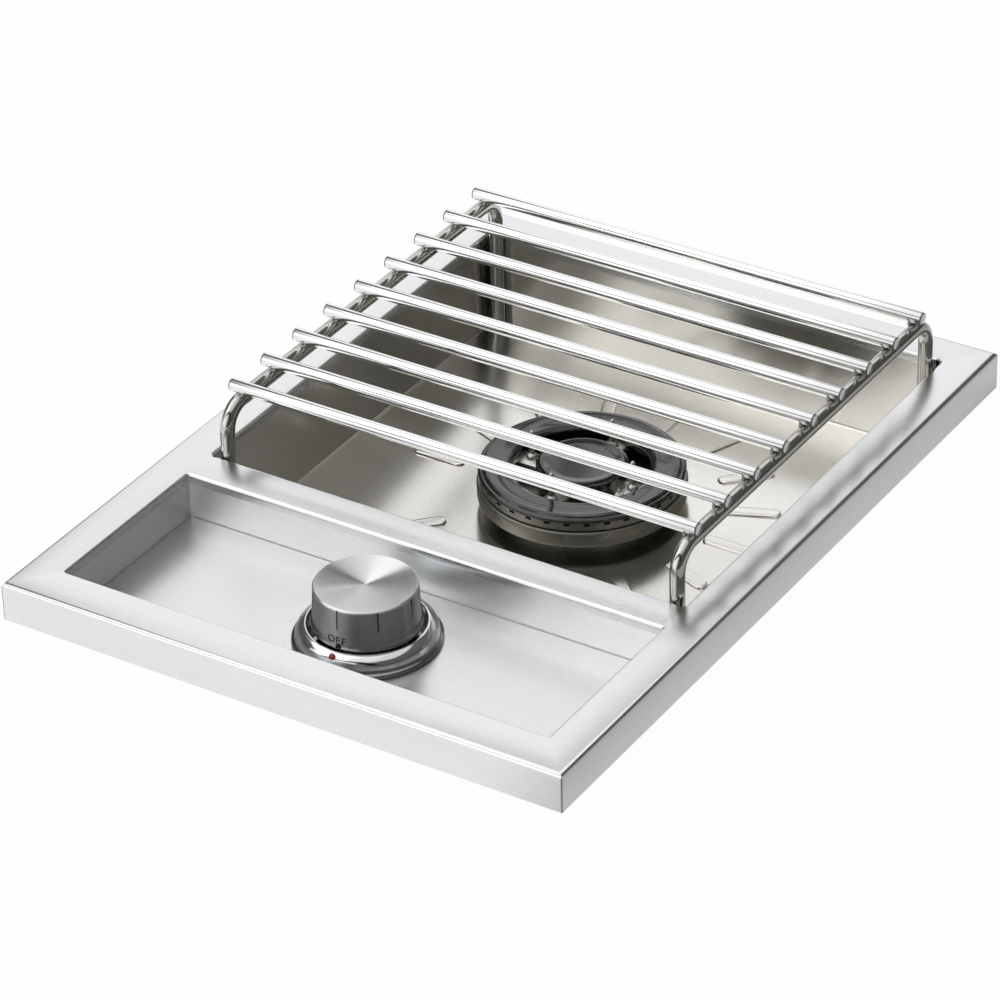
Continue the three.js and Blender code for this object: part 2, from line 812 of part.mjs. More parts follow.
function innerCap() {
  const topRim = innerCapZ + innerCapRise;
  const spigotZ = innerCapZ - innerCapSpigotDrop;
  return turned([
    [0, spigotZ], [innerCapSpigot, spigotZ], [innerCapSpigot, innerCapZ],
    [innerCapRadius, innerCapZ], [innerCapRadius, innerCapZ + innerCapEdge], [innerCapCrown, topRim],
    [innerCapCrown - innerCapEdge, topRim - innerCapDish], [0, topRim - innerCapDish],
  ], roundSteps, 0, wellMidY);
}

const terminalTopZ = holderTopZ - holderFlange - terminalDrop;
const terminalLowZ = terminalTopZ - terminalHeight;
const terminalSolder = terminalRadius - electrodeRadius;

function ignitionElectrode() {
  const shoulderZ = topZ - electrodeTopDrop;
  const lowZ = terminalLowZ + terminalSolder + seatGap;
  return onCircle(electrodePlace, electrodeAngleShare * fullTurn, (x, y) => turned([
    [0, lowZ], [electrodeRadius, lowZ], [electrodeRadius, shoulderZ - electrodeTipRadius],
    [electrodeTipRadius, shoulderZ], [electrodeTipRadius, shoulderZ + electrodeTipLength],
    [0, shoulderZ + electrodeTipLength],
  ], smallSteps, x, y));
}

function electrodeTerminal() {
  return onCircle(electrodePlace, electrodeAngleShare * fullTurn, (x, y) => disc(
    terminalRadius, terminalLowZ, terminalTopZ, smallSteps, x, y,
  ).subtract(disc(
    electrodeRadius + seatGap, terminalLowZ + terminalSolder, terminalTopZ + cutOverrun, smallSteps, x, y,
  )));
}

// Injector holder under the well floor, with a jet for each flame ring

const holderPortZ = holderTopZ - holderPortDrop;
const holderFaceY = wellMidY - holderBodyRadius - portBossLength;
const holderBossLength = portBossLength + holderBodyRadius / 2;

function injectorHolder() {
  const lowZ = holderTopZ - holderHeight;
  const body = turned([
    [0, lowZ], [holderBodyRadius, lowZ], [holderBodyRadius, holderTopZ - holderFlange],
    [holderRadius, holderTopZ - holderFlange], [holderRadius, holderTopZ], [0, holderTopZ],
  ], roundSteps / 2, 0, wellMidY);
  const bosses = [-1, 1].map((side) => barAlongY(
    portBossRadius, holderBossLength, wireSteps, side * (outletSpacing / 2),
    holderFaceY + holderBossLength / 2, holderPortZ,
  ));
  const bores = [-1, 1].map((side) => disc(
    jetBoreRadius, holderTopZ - jetBoreDepth, holderTopZ + cutOverrun, smallSteps,
    side * (jetSpacing / 2), wellMidY,
  ));
  const holes = fixingHoles(lowZ - cutOverrun, holderTopZ + cutOverrun);
  return minus(union([body, ...bosses]), [...bores, ...holes]);
}

function jet(side) {
  const footZ = holderTopZ - jetBoreDepth + seatGap;
  const faceZ = footZ + jetHeight;
  const [x, y] = [side * (jetSpacing / 2), wellMidY];
  const tip = disc(jetTipRadius, faceZ - seatGap, faceZ + jetTipHeight, wireSteps, x, y);
  const orifice = disc(jetOrifice, faceZ, faceZ + jetTipHeight + cutOverrun, wireSteps, x, y);
  return hexPrism(jetRadius, footZ, faceZ, x, y).add(tip).subtract(orifice);
}

// Knob, bezel and indicator

const knobTopZ = topZ + knobRise;
const knobBaseZ = knobTopZ - knobHeight;
const bezelSeatZ = trayFloorZ + seatGap;

function knobShell() {
  const wallTop = knobTopZ - knobWall;
  return turned([
    [0, wallTop], [knobTopRadius - knobWall, wallTop], [knobWaistRadius - knobWall, knobBaseZ],
    [knobBaseRadius, knobBaseZ], [knobBaseRadius, knobBaseZ + knobSkirtHeight / 2],
    [knobWaistRadius, knobBaseZ + knobSkirtHeight], [knobTopRadius, knobTopZ - knobEdgeChamfer],
    [knobTopRadius - knobEdgeChamfer, knobTopZ], [0, knobTopZ],
  ], roundSteps, 0, knobY);
}

function stemOutline(radius, flat) {
  const outline = new THREE.Shape();
  const reach = Math.acos((radius - flat) / radius);
  outline.absarc(0, 0, radius, reach, fullTurn - reach);
  return outline;
}

function stemPrism(radius, flat, lowZ, highZ) {
  const options = { depth: highZ - lowZ, bevelEnabled: false, curveSegments: smallSteps };
  return solid(new THREE.ExtrudeGeometry(stemOutline(radius, flat), options).translate(0, knobY, lowZ));
}

const stemTopZ = knobTopZ - stemTopDrop;

function knobCore() {
  const coreTop = knobTopZ - knobWall - seatGap;
  const coreLow = knobBaseZ + knobCoreFoot;
  const body = turned([
    [0, knobBaseZ - knobHubDrop], [knobHubRadius, knobBaseZ - knobHubDrop], [knobHubRadius, coreLow],
    [knobCoreRadius, coreLow], [knobCoreRadius, coreTop], [0, coreTop],
  ], roundSteps / 2, 0, knobY);
  return body.subtract(stemPrism(
    stemRadius + hubBoreGap, stemFlat, knobBaseZ - knobHubDrop - cutOverrun, stemTopZ + seatGap,
  ));
}

function bezelProfile() {
  const baseZ = bezelSeatZ;
  const lipInner = bezelLipRadius - bezelLipWidth;
  const shoulderZ = baseZ + bezelRimHeight + bezelShoulder / 2;
  return [
    [bezelFlangeRadius, baseZ], [bezelRadius, baseZ], [bezelRadius, baseZ + bezelRimHeight],
    [bezelRadius - bezelShoulder, shoulderZ], [bezelLipRadius, baseZ + bezelHeight - bezelLipWidth / 2],
    [bezelLipRadius - bezelLipWidth / 2, baseZ + bezelHeight],
    [lipInner, baseZ + bezelHeight - bezelLipWidth / 2], [lipInner, baseZ + bezelFlange],
    [bezelFlangeRadius, baseZ + bezelFlange], [bezelFlangeRadius, baseZ],
  ];
}

// The indicator sits square to the bezel's slope, at the front of the ring
function dotPrism(radius, low, high) {
  const shoulderZ = bezelSeatZ + bezelRimHeight + bezelShoulder / 2;
  const outer = new THREE.Vector2(bezelRadius - bezelShoulder, shoulderZ);
  const inner = new THREE.Vector2(bezelLipRadius, bezelSeatZ + bezelHeight - bezelLipWidth / 2);
  const place = inner.clone().lerp(outer, dotPlaceShare);
  const lean = Math.atan2(inner.y - outer.y, outer.x - inner.x);
  const profile = [[0, low], [radius, low], [radius, high], [0, high]];
  const points = profile.map(([r, z]) => new THREE.Vector2(r, z));
  const geometry = new THREE.LatheGeometry(points, wireSteps).rotateX(quarterTurn);
  return solid(geometry.rotateX(lean).translate(0, knobY - place.x, place.y));
}

function knobBezel() {
  const cutters = [dotPrism(dotRadius + seatGap, -dotDepth - seatGap, cutOverrun)];
  for (const side of [-1, 1]) {
    cutters.push(disc(
      screwShankRadius + screwHoleGap, bezelSeatZ - cutOverrun, bezelSeatZ + cutOverrun, wireSteps,
      side * screwPlace, knobY,
    ));
  }
  return minus(turned(bezelProfile(), roundSteps, 0, knobY), cutters);
}

function indicatorDot() {
  return dotPrism(dotRadius, -dotDepth, dotProud);
}

// Valve: stem, plug and spring inside a brass body that hangs on a bracket under the tray

const collarTopZ = trayUnderZ - stemCollarDrop;
const webLowZ = trayUnderZ - seatGap - bracketDrop;
const webTopZ = webLowZ + bracketSheet;
const bonnetTopZ = webTopZ + seatGap + nutHeight + bonnetProud;
const retainerTopZ = bonnetTopZ - bonnetLip - seatGap;
const springTopZ = retainerTopZ - retainerThickness - seatGap;
const plugTopZ = springTopZ - springLength - seatGap;
const plugLowZ = plugTopZ - plugHeight;
const valveTopZ = webLowZ - seatGap;
const valveLowZ = plugLowZ - seatGap - valveFloor;
const stemLowZ = plugTopZ - stemInPlug;
const piezoY = knobY - valveRun / 2 - seatGap - piezoRadius;
const valvePortZ = plugLowZ + (plugHeight - plugSocketDepth) / 2;

function valveStem() {
  const shaft = stemPrism(stemRadius, stemFlat, stemLowZ, stemTopZ);
  const collar = disc(
    stemCollarRadius, collarTopZ - stemCollarThickness, collarTopZ, roundSteps / 2, 0, knobY,
  );
  const retainer = disc(
    retainerRadius, retainerTopZ - retainerThickness, retainerTopZ, smallSteps, 0, knobY,
  );
  return union([shaft, collar, retainer]);
}

function valveBody() {
  const lip = stemRadius + bonnetGap;
  const chamber = plugRadius + plugGap;
  const bonnet = disc(bonnetRadius, valveTopZ - cutOverrun, bonnetTopZ, smallSteps, 0, knobY);
  const housing = block(valveWidth, valveRun, valveLowZ, valveTopZ, 0, knobY);
  const outlets = [-1, 1].map((side) => barAlongY(
    portBossRadius, portBossLength, wireSteps, side * (outletSpacing / 2),
    knobY + valveRun / 2 + portBossLength / 2, valvePortZ,
  ));
  const inlet = barAlongX(
    portBossRadius, portBossLength, wireSteps, valveWidth / 2 + portBossLength / 2, knobY, valvePortZ,
  );
  const cavity = turned([
    [0, plugLowZ - plugGap], [chamber, plugLowZ - plugGap], [chamber, plugTopZ + plugGap],
    [springBoreRadius, plugTopZ + plugGap], [springBoreRadius, bonnetTopZ - bonnetLip],
    [lip, bonnetTopZ - bonnetLip], [lip, bonnetTopZ + cutOverrun], [0, bonnetTopZ + cutOverrun],
  ], smallSteps, 0, knobY);
  const gasway = barAlongX(gasPortRadius, valveWidth, wireSteps, valveWidth / 2, knobY, valvePortZ);
  return minus(union([bonnet, housing, ...outlets, inlet]), [cavity, gasway]);
}

// The plug's gas hole looks forward when the knob is off, and meets the inlet a quarter turn later
function valvePlug() {
  const body = disc(plugRadius, plugLowZ, plugTopZ, smallSteps, 0, knobY);
  const socket = stemPrism(
    stemRadius + stemSocketGap, stemFlat, plugTopZ - plugSocketDepth, plugTopZ + cutOverrun,
  );
  const gasway = barAlongY(gasPortRadius, plugRadius, wireSteps, 0, knobY - plugRadius, valvePortZ);
  return minus(body, [socket, gasway]);
}

class Coil extends THREE.Curve {
  getPoint(share, target = new THREE.Vector3()) {
    const angle = fullTurn * springTurns * share;
    const rise = (springLength - springWire) * share;
    const lowZ = springTopZ - springLength + springWire / 2;
    return target.set(springRadius * Math.cos(angle), knobY + springRadius * Math.sin(angle), lowZ + rise);
  }
}

function stemSpring() {
  const options = { steps: springTurns * springCoilSteps, extrudePath: new Coil() };
  return solid(new THREE.ExtrudeGeometry(section(springWire / 2, springSides), options));
}

function valveLockNut() {
  const lowZ = webTopZ + seatGap;
  const highZ = lowZ + nutHeight;
  const bore = disc(
    bonnetRadius + bonnetGap, lowZ - cutOverrun, highZ + cutOverrun, smallSteps, 0, knobY,
  );
  const nut = hexPrism(nutRadius, lowZ, highZ, 0, knobY, quarterTurn / 3);
  return nut.subtract(bore);
}

function valveBracket() {
  const topLevel = trayUnderZ - seatGap;
  const outer = block(2 * bracketHalfWidth, bracketRun, webLowZ, topLevel, 0, knobY);
  const innerWidth = 2 * (bracketHalfWidth - bracketSheet);
  const inner = block(
    innerWidth, bracketRun + cutOverrun, webTopZ, topLevel + cutOverrun, 0, knobY,
  );
  const feet = block(
    2 * (bracketHalfWidth + bracketFoot), bracketRun, topLevel - bracketSheet, topLevel, 0, knobY,
  );
  const bore = disc(
    bonnetRadius + bonnetGap, webLowZ - cutOverrun, webTopZ + cutOverrun, smallSteps, 0, knobY,
  );
  const neckHole = disc(
    piezoNeckRadius + bonnetGap, webLowZ - cutOverrun, webTopZ + cutOverrun, smallSteps, 0, piezoY,
  );
  const cutters = [inner, bore, neckHole];
  for (const side of [-1, 1]) {
    cutters.push(disc(
      screwShankRadius + screwHoleGap, topLevel - cutOverrun, topLevel + cutOverrun, wireSteps,
      side * screwPlace, knobY,
    ));
  }
  return minus(outer.add(feet), cutters);
}

function bezelScrew(side) {
  const headZ = bezelSeatZ + bezelFlange + seatGap;
  const tailZ = trayUnderZ - seatGap - bracketSheet - screwTail;
  return turned([
    [0, tailZ], [screwShankRadius, tailZ], [screwShankRadius, headZ], [screwHeadRadius, headZ],
    [screwHeadRadius, headZ + screwHeadHeight], [0, headZ + screwHeadHeight],
  ], wireSteps, side * screwPlace, knobY);
}

// Piezo igniter: its button stands under the stem's collar, so a pushed knob strikes it

const buttonTopZ = collarTopZ - stemCollarThickness - seatGap;
const buttonLowZ = webTopZ - piezoButtonSink;
const piezoLowZ = webLowZ - seatGap - piezoHeight;

function piezoIgniter() {
  const shoulderZ = webLowZ - seatGap;
  const clipZ = webTopZ + seatGap;
  const bore = piezoButtonRadius + seatGap;
  const boreLowZ = buttonLowZ - pushTravel - seatGap;
  return turned([
    [0, piezoLowZ], [piezoRadius, piezoLowZ], [piezoRadius, shoulderZ], [piezoNeckRadius, shoulderZ],
    [piezoNeckRadius, clipZ], [piezoClipRadius, clipZ], [piezoClipRadius, clipZ + piezoClipThickness],
    [bore, clipZ + piezoClipThickness], [bore, boreLowZ], [0, boreLowZ],
  ], smallSteps, 0, piezoY);
}

function piezoButton() {
  return disc(piezoButtonRadius, buttonLowZ, buttonTopZ, smallSteps, 0, piezoY);
}

// Pipes, lead and gas inlet

function lengthened(corners) {
  const points = corners.map((corner) => new THREE.Vector3(...corner));
  const last = points.length - 1;
  const start = points[0].clone().sub(points[1]).setLength(cutOverrun).add(points[0]);
  const end = points[last].clone().sub(points[last - 1]).setLength(cutOverrun).add(points[last]);
  return [start.toArray(), ...corners.slice(1, last), end.toArray()];
}

function pipe(corners, radius) {
  const bore = routed(lengthened(corners), pipeBend, radius - pipeWall, wireSteps);
  return routed(corners, pipeBend, radius, wireSteps).subtract(bore);
}

function feedTube(side, radius) {
  const x = side * (outletSpacing / 2);
  const startY = knobY + valveRun / 2 + portBossLength + seatGap;
  const endY = holderFaceY - seatGap;
  return pipe([
    [x, startY, valvePortZ], [x, startY + 2 * pipeBend, valvePortZ],
    [x, endY - 2 * pipeBend, holderPortZ], [x, endY, holderPortZ],
  ], radius);
}

const nippleFaceY = casingDepth / 2 - casingSheet - nippleInside;
const nippleEndY = casingDepth / 2 + nippleProud;

function supplyPipe() {
  const startX = valveWidth / 2 + portBossLength + seatGap;
  return pipe([
    [startX, knobY, valvePortZ], [supplyPipeShift, knobY, valvePortZ],
    [supplyPipeShift, wellFront, pipeRunZ], [supplyPipeShift, nippleFaceY - seatGap, pipeRunZ],
  ], supplyPipeRadius);
}

function inletNipple() {
  const length = nippleEndY - nippleFaceY;
  const place = [supplyPipeShift, (nippleFaceY + nippleEndY) / 2, pipeRunZ];
  const outer = barAlongY(nippleRadius, length, roundSteps / 2, ...place);
  return outer.subtract(barAlongY(nippleBore, length + cutOverrun, smallSteps, ...place));
}

function inletNut(faceY, side) {
  const place = [supplyPipeShift, faceY + side * (seatGap + lockNutHeight / 2), pipeRunZ];
  const bore = barAlongY(nippleRadius + seatGap, lockNutHeight + cutOverrun, roundSteps / 2, ...place);
  return barAlongY(lockNutRadius, lockNutHeight, hexagonSides, ...place).subtract(bore);
}

// The lead drops from the igniter to the casing's floor, and rises to the electrode's terminal
function ignitionLead() {
  const floorZ = casingSheet + seatGap + leadRadius;
  return onCircle(electrodePlace, electrodeAngleShare * fullTurn, (x, y) => routed([
    [0, piezoY, piezoLowZ - seatGap], [0, piezoY, floorZ], [x, piezoY, floorZ],
    [x, y, floorZ], [x, y, terminalLowZ - seatGap],
  ], leadBend, leadRadius, wireSteps));
}

// Grate: two bent rails whose ends are the legs, with nine rods welded across them

const rodZ = topZ + rodRise;
const railZ = rodZ - rodRadius - seatGap - railRadius;
const railX = holeWidth / 2 - railInset;
const legLowZ = wellFloorZ + seatGap;

function rodY(index) {
  return wellMidY + (index - (rodCount - 1) / 2) * rodPitch;
}

function grateRod(index) {
  return barAlongX(rodRadius, rodLength, rodSteps, 0, rodY(index), rodZ, rodChamfer);
}

function grateRail(side) {
  const x = side * railX;
  const [front, back] = [wellFront + legInset, wellBack - legInset];
  return routed([
    [x, front, legLowZ], [x, front, railZ], [x, back, railZ], [x, back, legLowZ],
  ], railBend, railRadius, railSteps);
}

const casingNuts = studPlaces().map((place, index) => (
  piece(`casing_nut_${index + 1}`, casingNut(place), 'zinc')
));
const burnerScrews = around(burnerScrewCount, burnerScrew).map((screw, index) => (
  piece(`burner_screw_${index + 1}`, screw, 'zinc')
));
const rods = Array.from({ length: rodCount }, (_, index) => (
  piece(`grate_rod_${index + 1}`, grateRod(index), 'polished')
));

const body = gather([
  piece('top_frame', topFrame(), 'brushed'),
  piece('control_tray', controlTray(), 'tray'),
  piece('well_pan', wellPan(), 'pan'),
  piece('casing_shell', casingShell(), 'casing'),
  ...casingNuts,
]);

const burner = gather([
  piece('burner_cup', burnerCup(), 'alloy'),
  ...burnerScrews,
  piece('flame_crown', flameCrown(), 'alloy'),
  piece('outer_cap', outerCap(), 'enamel'),
  piece('inner_cap', innerCap(), 'enamel'),
  piece('injector_holder', injectorHolder(), 'alloy'),
  piece('outer_jet', jet(-1), 'brass'),
  piece('inner_jet', jet(1), 'brass'),
  piece('ignition_electrode', ignitionElectrode(), 'ceramic'),
  piece('electrode_terminal', electrodeTerminal(), 'brass'),
]);

const control = gather([
  piece('knob_shell', knobShell(), 'knob'),
  piece('knob_core', knobCore(), 'plastic'),
  piece('knob_bezel', knobBezel(), 'chrome'),
  piece('bezel_indicator', indicatorDot(), 'red'),
  piece('valve_stem', valveStem(), 'brass'),
  piece('valve_plug', valvePlug(), 'brass'),
  piece('stem_spring', stemSpring(), 'zinc'),
  piece('valve_body', valveBody(), 'brass'),
  piece('valve_lock_nut', valveLockNut(), 'zinc'),
  piece('valve_bracket', valveBracket(), 'zinc'),
  piece('left_bezel_screw', bezelScrew(-1), 'zinc'),
  piece('right_bezel_screw', bezelScrew(1), 'zinc'),
  piece('piezo_igniter', piezoIgniter(), 'plastic'),
  piece('piezo_button', piezoButton(), 'ceramic'),
]);

const pipework = gather([
  piece('outer_feed_tube', feedTube(-1, outerTubeRadius), 'alloy'),
  piece('inner_feed_tube', feedTube(1, innerTubeRadius), 'alloy'),
  piece('supply_pipe', supplyPipe(), 'zinc'),
  piece('inlet_nipple', inletNipple(), 'brass'),
  piece('inner_lock_nut', inletNut(casingDepth / 2 - casingSheet, -1), 'brass'),
  piece('outer_lock_nut', inletNut(casingDepth / 2, 1), 'brass'),
  piece('ignition_lead', ignitionLead(), 'plastic'),
]);

const grate = gather([
  ...rods,
  piece('grate_left_rail', grateRail(-1), 'polished'),
  piece('grate_right_rail', grateRail(1), 'polished'),
]);

const sideBurner = gather([body, burner, control, pipework, grate]);

export default sideBurner;
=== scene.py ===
"""Dresses the built-in side burner: folded steel body, grate, ring burner, knob and the parts underneath."""
import logging
import math
from collections.abc import Callable, Sequence
from dataclasses import dataclass
from enum import Enum
from functools import cache

import bmesh
import bpy
from mathutils import Matrix, Vector


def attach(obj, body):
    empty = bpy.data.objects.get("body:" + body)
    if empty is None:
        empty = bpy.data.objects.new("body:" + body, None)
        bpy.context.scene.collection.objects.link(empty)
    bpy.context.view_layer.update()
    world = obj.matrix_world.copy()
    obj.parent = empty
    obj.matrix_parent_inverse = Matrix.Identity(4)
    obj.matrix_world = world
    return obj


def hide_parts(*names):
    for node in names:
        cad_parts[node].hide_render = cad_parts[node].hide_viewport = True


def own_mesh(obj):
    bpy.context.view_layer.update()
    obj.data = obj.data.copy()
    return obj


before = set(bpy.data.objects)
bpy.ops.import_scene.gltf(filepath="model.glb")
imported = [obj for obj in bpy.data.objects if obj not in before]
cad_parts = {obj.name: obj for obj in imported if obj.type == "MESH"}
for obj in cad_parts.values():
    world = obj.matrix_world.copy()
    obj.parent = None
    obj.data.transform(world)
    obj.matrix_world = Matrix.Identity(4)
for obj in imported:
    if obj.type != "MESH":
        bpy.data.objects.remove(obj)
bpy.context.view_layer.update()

LOG = logging.getLogger("side_burner")

MM = 0.001
CLOSE = 0.01
MERGE_GAP = 0.001
FINE_ANGLE = 25.0
ORIGIN = (0.0, 0.0, 0.0)
ALONG_X = (1.0, 0.0, 0.0)
ALONG_Y = (0.0, 1.0, 0.0)
UPRIGHT = (0.0, 0.0, 1.0)
SIDES = (-1, 1)
SHEET = 1.2
TOP_Z = 115.0
HALF_WIDTH = 185.0
HALF_DEPTH = 252.5
OPENING_HALF = 160.0
KNOB_Y = -159.3
BURNER_Y = 73.25

Spot = tuple[float, float, float]
Profile = Sequence[Sequence[float]]


class Pick(Enum):
    """What a selection in edit mode is made of."""

    VERTICES = "VERT"
    EDGES = "EDGE"
    FACES = "FACE"


class Grain(Enum):
    """The axis along which metal is brushed or drawn, by its number."""

    ACROSS = 0
    ALONG = 1

    def stretch(self, share: float) -> Spot:
        """Returns the scale that draws a pattern out along the grain."""
        return tuple(share if axis == self.value else 1.0 for axis in range(3))


def metres(*lengths: float) -> Spot:
    """Turns millimetres into metres."""
    return tuple(length * MM for length in lengths)


class Workpiece:
    """One mesh that is shaped in edit mode, with its sizes given in millimetres."""

    def __init__(self, name: str) -> None:
        """Takes the object that was just added, names it and opens it for editing.

        Args:
            name: The piece's name.
        """
        self.obj = bpy.context.active_object
        self.obj.name = self.obj.data.name = name
        bpy.ops.object.transform_apply(location=True, rotation=True, scale=True)
        bpy.ops.object.mode_set(mode="EDIT")
        bpy.ops.mesh.select_mode(type="VERT")

    @staticmethod
    def clear() -> None:
        """Leaves edit mode and deselects everything."""
        if bpy.context.mode != "OBJECT":
            bpy.ops.object.mode_set(mode="OBJECT")
        bpy.ops.object.select_all(action="DESELECT")

    def hold(self, *others: "Workpiece") -> None:
        """Leaves edit mode and selects this piece, as the active one.

        Args:
            others: Pieces that are selected with it.
        """
        self.clear()
        for piece in (self, *others):
            piece.obj.select_set(True)
        bpy.context.view_layer.objects.active = self.obj

    @classmethod
    def begin(
        cls, name: str, add: Callable[..., object], at: Spot, axis: Spot | None = None, **settings: object,
    ) -> "Workpiece":
        """Starts a piece from one of Blender's primitives.

        Args:
            name: The piece's name.
            add: The operator that adds the primitive.
            at: Its middle.
            axis: The direction that its own axis is turned to.
            settings: The operator's other settings.

        Returns:
            The new piece, all selected.
        """
        cls.clear()
        if axis:
            settings["rotation"] = Vector(axis).to_track_quat("Z", "Y").to_euler()
        add(location=metres(*at), **settings)
        return cls(name)

    @classmethod
    def plate(cls, name: str, width: float, run: float, at: Spot, corner: float = 0.0) -> "Workpiece":
        """Starts from a flat rectangle, with rounded corners where asked.

        Args:
            name: The piece's name.
            width: Its size along X.
            run: Its size along Y.
            at: Its middle.
            corner: The radius of its corners.

        Returns:
            The new piece, with its face selected.
        """
        piece = cls.begin(name, bpy.ops.mesh.primitive_plane_add, at, size=1.0)
        piece.scale((width * MM, run * MM, 1.0), at)
        if corner:
            piece.bevel(corner, 8 if corner > 2.0 else 3, "VERTICES")
        bpy.ops.mesh.select_all(action="SELECT")
        return piece

    @classmethod
    def block(cls, name: str, size: Spot, at: Spot) -> "Workpiece":
        """Starts from a box of the given size round a middle, all selected."""
        return cls.begin(name, bpy.ops.mesh.primitive_cube_add, at, size=1.0).scale(metres(*size), at)

    @classmethod
    def disc(
        cls, name: str, radius: float, depth: float, at: Spot, sides: int, axis: Spot = UPRIGHT,
    ) -> "Workpiece":
        """Starts from a closed bar along an axis, all selected."""
        return cls.begin(name, bpy.ops.mesh.primitive_cylinder_add, at, axis,
                         vertices=sides, radius=radius * MM, depth=depth * MM)

    @classmethod
    def ring(cls, name: str, radius: float, at: Spot, sides: int, axis: Spot = UPRIGHT) -> "Workpiece":
        """Starts from an open ring of edges round an axis, all selected."""
        return cls.begin(name, bpy.ops.mesh.primitive_circle_add, at, axis,
                         vertices=sides, radius=radius * MM, fill_type="NOTHING")

    @classmethod
    def turned(cls, name: str, profile: Profile, x: float, y: float, steps: int) -> "Workpiece":
        """Draws a profile point by point, rounds its corners and spins it round an upright axis.

        Args:
            name: The piece's name.
            profile: Radius, height and, where a corner is rounded, how far the rounding reaches.
            x: The axis's place along X.
            y: The axis's place along Y.
            steps: How many steps the spin takes.

        Returns:
            The new piece, all selected.
        """
        first, last = profile[0], profile[-1]
        piece = cls.begin(name, bpy.ops.mesh.primitive_plane_add, (x + first[0], y, first[1]), size=MM)
        bpy.ops.mesh.merge(type="CENTER")
        for before, after in zip(profile, profile[1:]):
            piece.extrude(x=after[0] - before[0], z=after[1] - before[1])
        if math.dist(first[:2], last[:2]) < CLOSE:
            piece.merge()
        for radius, height, *rounding in profile:
            if rounding:
                spot = Vector((x + radius, y, height))
                piece.pick(Pick.VERTICES, lambda middle, _: (middle - spot).length < CLOSE)
                piece.bevel(*rounding, affect="VERTICES")
        bpy.ops.mesh.select_all(action="SELECT")
        bpy.ops.mesh.spin(
            steps=steps, angle=math.tau, use_auto_merge=True, center=metres(x, y, 0.0), axis=UPRIGHT)
        piece.merge()
        piece.face_outwards()
        return piece

    def pick(self, kind: Pick, test: Callable[[Vector, Vector], bool]) -> "Workpiece":
        """Selects what passes a test, and nothing else.

        Args:
            kind: Vertices, edges or faces.
            test: Takes a middle in millimetres, and the normal, or an edge's direction.

        Returns:
            This piece.
        """
        bpy.ops.mesh.select_mode(type=kind.value)
        bpy.ops.mesh.select_all(action="DESELECT")
        mesh = bmesh.from_edit_mesh(self.obj.data)
        mesh.normal_update()
        if kind is Pick.VERTICES:
            chosen = [v for v in mesh.verts if test(v.co / MM, v.normal)]
        elif kind is Pick.EDGES:
            ends = ((e, *(v.co for v in e.verts)) for e in mesh.edges)
            chosen = [
                e for e, start, end in ends if test((start + end) / (2 * MM), (end - start).normalized())]
        else:
            chosen = [f for f in mesh.faces if test(f.calc_center_median() / MM, f.normal)]
        for element in chosen:
            element.select_set(True)
        mesh.select_flush_mode()
        bmesh.update_edit_mesh(self.obj.data)
        return self

    def extrude(self, x: float = 0.0, y: float = 0.0, z: float = 0.0) -> None:
        """Extrudes the selection by a distance along each axis."""
        bpy.ops.mesh.extrude_region_move(TRANSFORM_OT_translate={"value": metres(x, y, z)})

    def move(self, x: float = 0.0, y: float = 0.0, z: float = 0.0) -> None:
        """Moves the selection."""
        bpy.ops.transform.translate(value=metres(x, y, z))

    def scale(self, share: Spot, about: Spot) -> "Workpiece":
        """Scales the selection about a point, and returns the piece."""
        bpy.ops.transform.resize(value=share, center_override=metres(*about))
        return self

    def inset(self, width: float, rise: float = 0.0) -> None:
        """Insets the selected faces by a width, and raises what is inside."""
        bpy.ops.mesh.inset(thickness=width * MM, depth=rise * MM, use_boundary=True, use_even_offset=True)

    def push(self, depth: float) -> None:
        """Extrudes each selected face along its own normal."""
        bpy.ops.mesh.extrude_region_shrink_fatten(TRANSFORM_OT_shrink_fatten={"value": depth * MM})

    def bend(self, x: float, y: float, z: float) -> None:
        """Spins the selected edges a quarter turn round an axis along X, as a pipe bender does."""
        bpy.ops.mesh.spin(steps=16, angle=math.radians(90.0), center=metres(x, y, z), axis=ALONG_X)

    def bevel(self, width: float, segments: int = 4, affect: str = "EDGES") -> None:
        """Rounds the selected edges, or the selected points of a line."""
        bpy.ops.mesh.bevel(offset=width * MM, segments=segments, affect=affect)

    def bevel_outline(self, width: float) -> None:
        """Rounds the outline of the selected faces."""
        bpy.ops.mesh.region_to_loop()
        self.bevel(width, 2)

    def open_up(self) -> None:
        """Deletes the selected faces and keeps their edges."""
        bpy.ops.mesh.delete(type="ONLY_FACE")

    def merge(self) -> None:
        """Merges points that lie on each other, over the whole piece."""
        bpy.ops.mesh.select_all(action="SELECT")
        bpy.ops.mesh.remove_doubles(threshold=MERGE_GAP * MM)

    def face_outwards(self) -> None:
        """Makes all faces point outwards."""
        bpy.ops.mesh.select_all(action="SELECT")
        bpy.ops.mesh.normals_make_consistent(inside=False)

    def modify(self, kind: str, **settings: object) -> None:
        """Adds a modifier and applies it.

        Args:
            kind: The modifier's type.
            settings: Its settings by name.
        """
        self.hold()
        modifier = self.obj.modifiers.new(kind.lower(), kind)
        for name, value in settings.items():
            setattr(modifier, name, value)
        bpy.ops.object.modifier_apply(modifier=modifier.name)
        bpy.ops.object.mode_set(mode="EDIT")

    def thicken(self) -> None:
        """Gives an open skin the sheet's thickness, to its inner side."""
        self.modify("SOLIDIFY", thickness=SHEET * MM, offset=-1.0, use_even_offset=True)

    def round_edges(self, width: float, segments: int = 2) -> None:
        """Rounds every sharp edge."""
        self.modify("BEVEL", width=width * MM, segments=segments, limit_method="ANGLE",
                    angle_limit=math.radians(30.0))

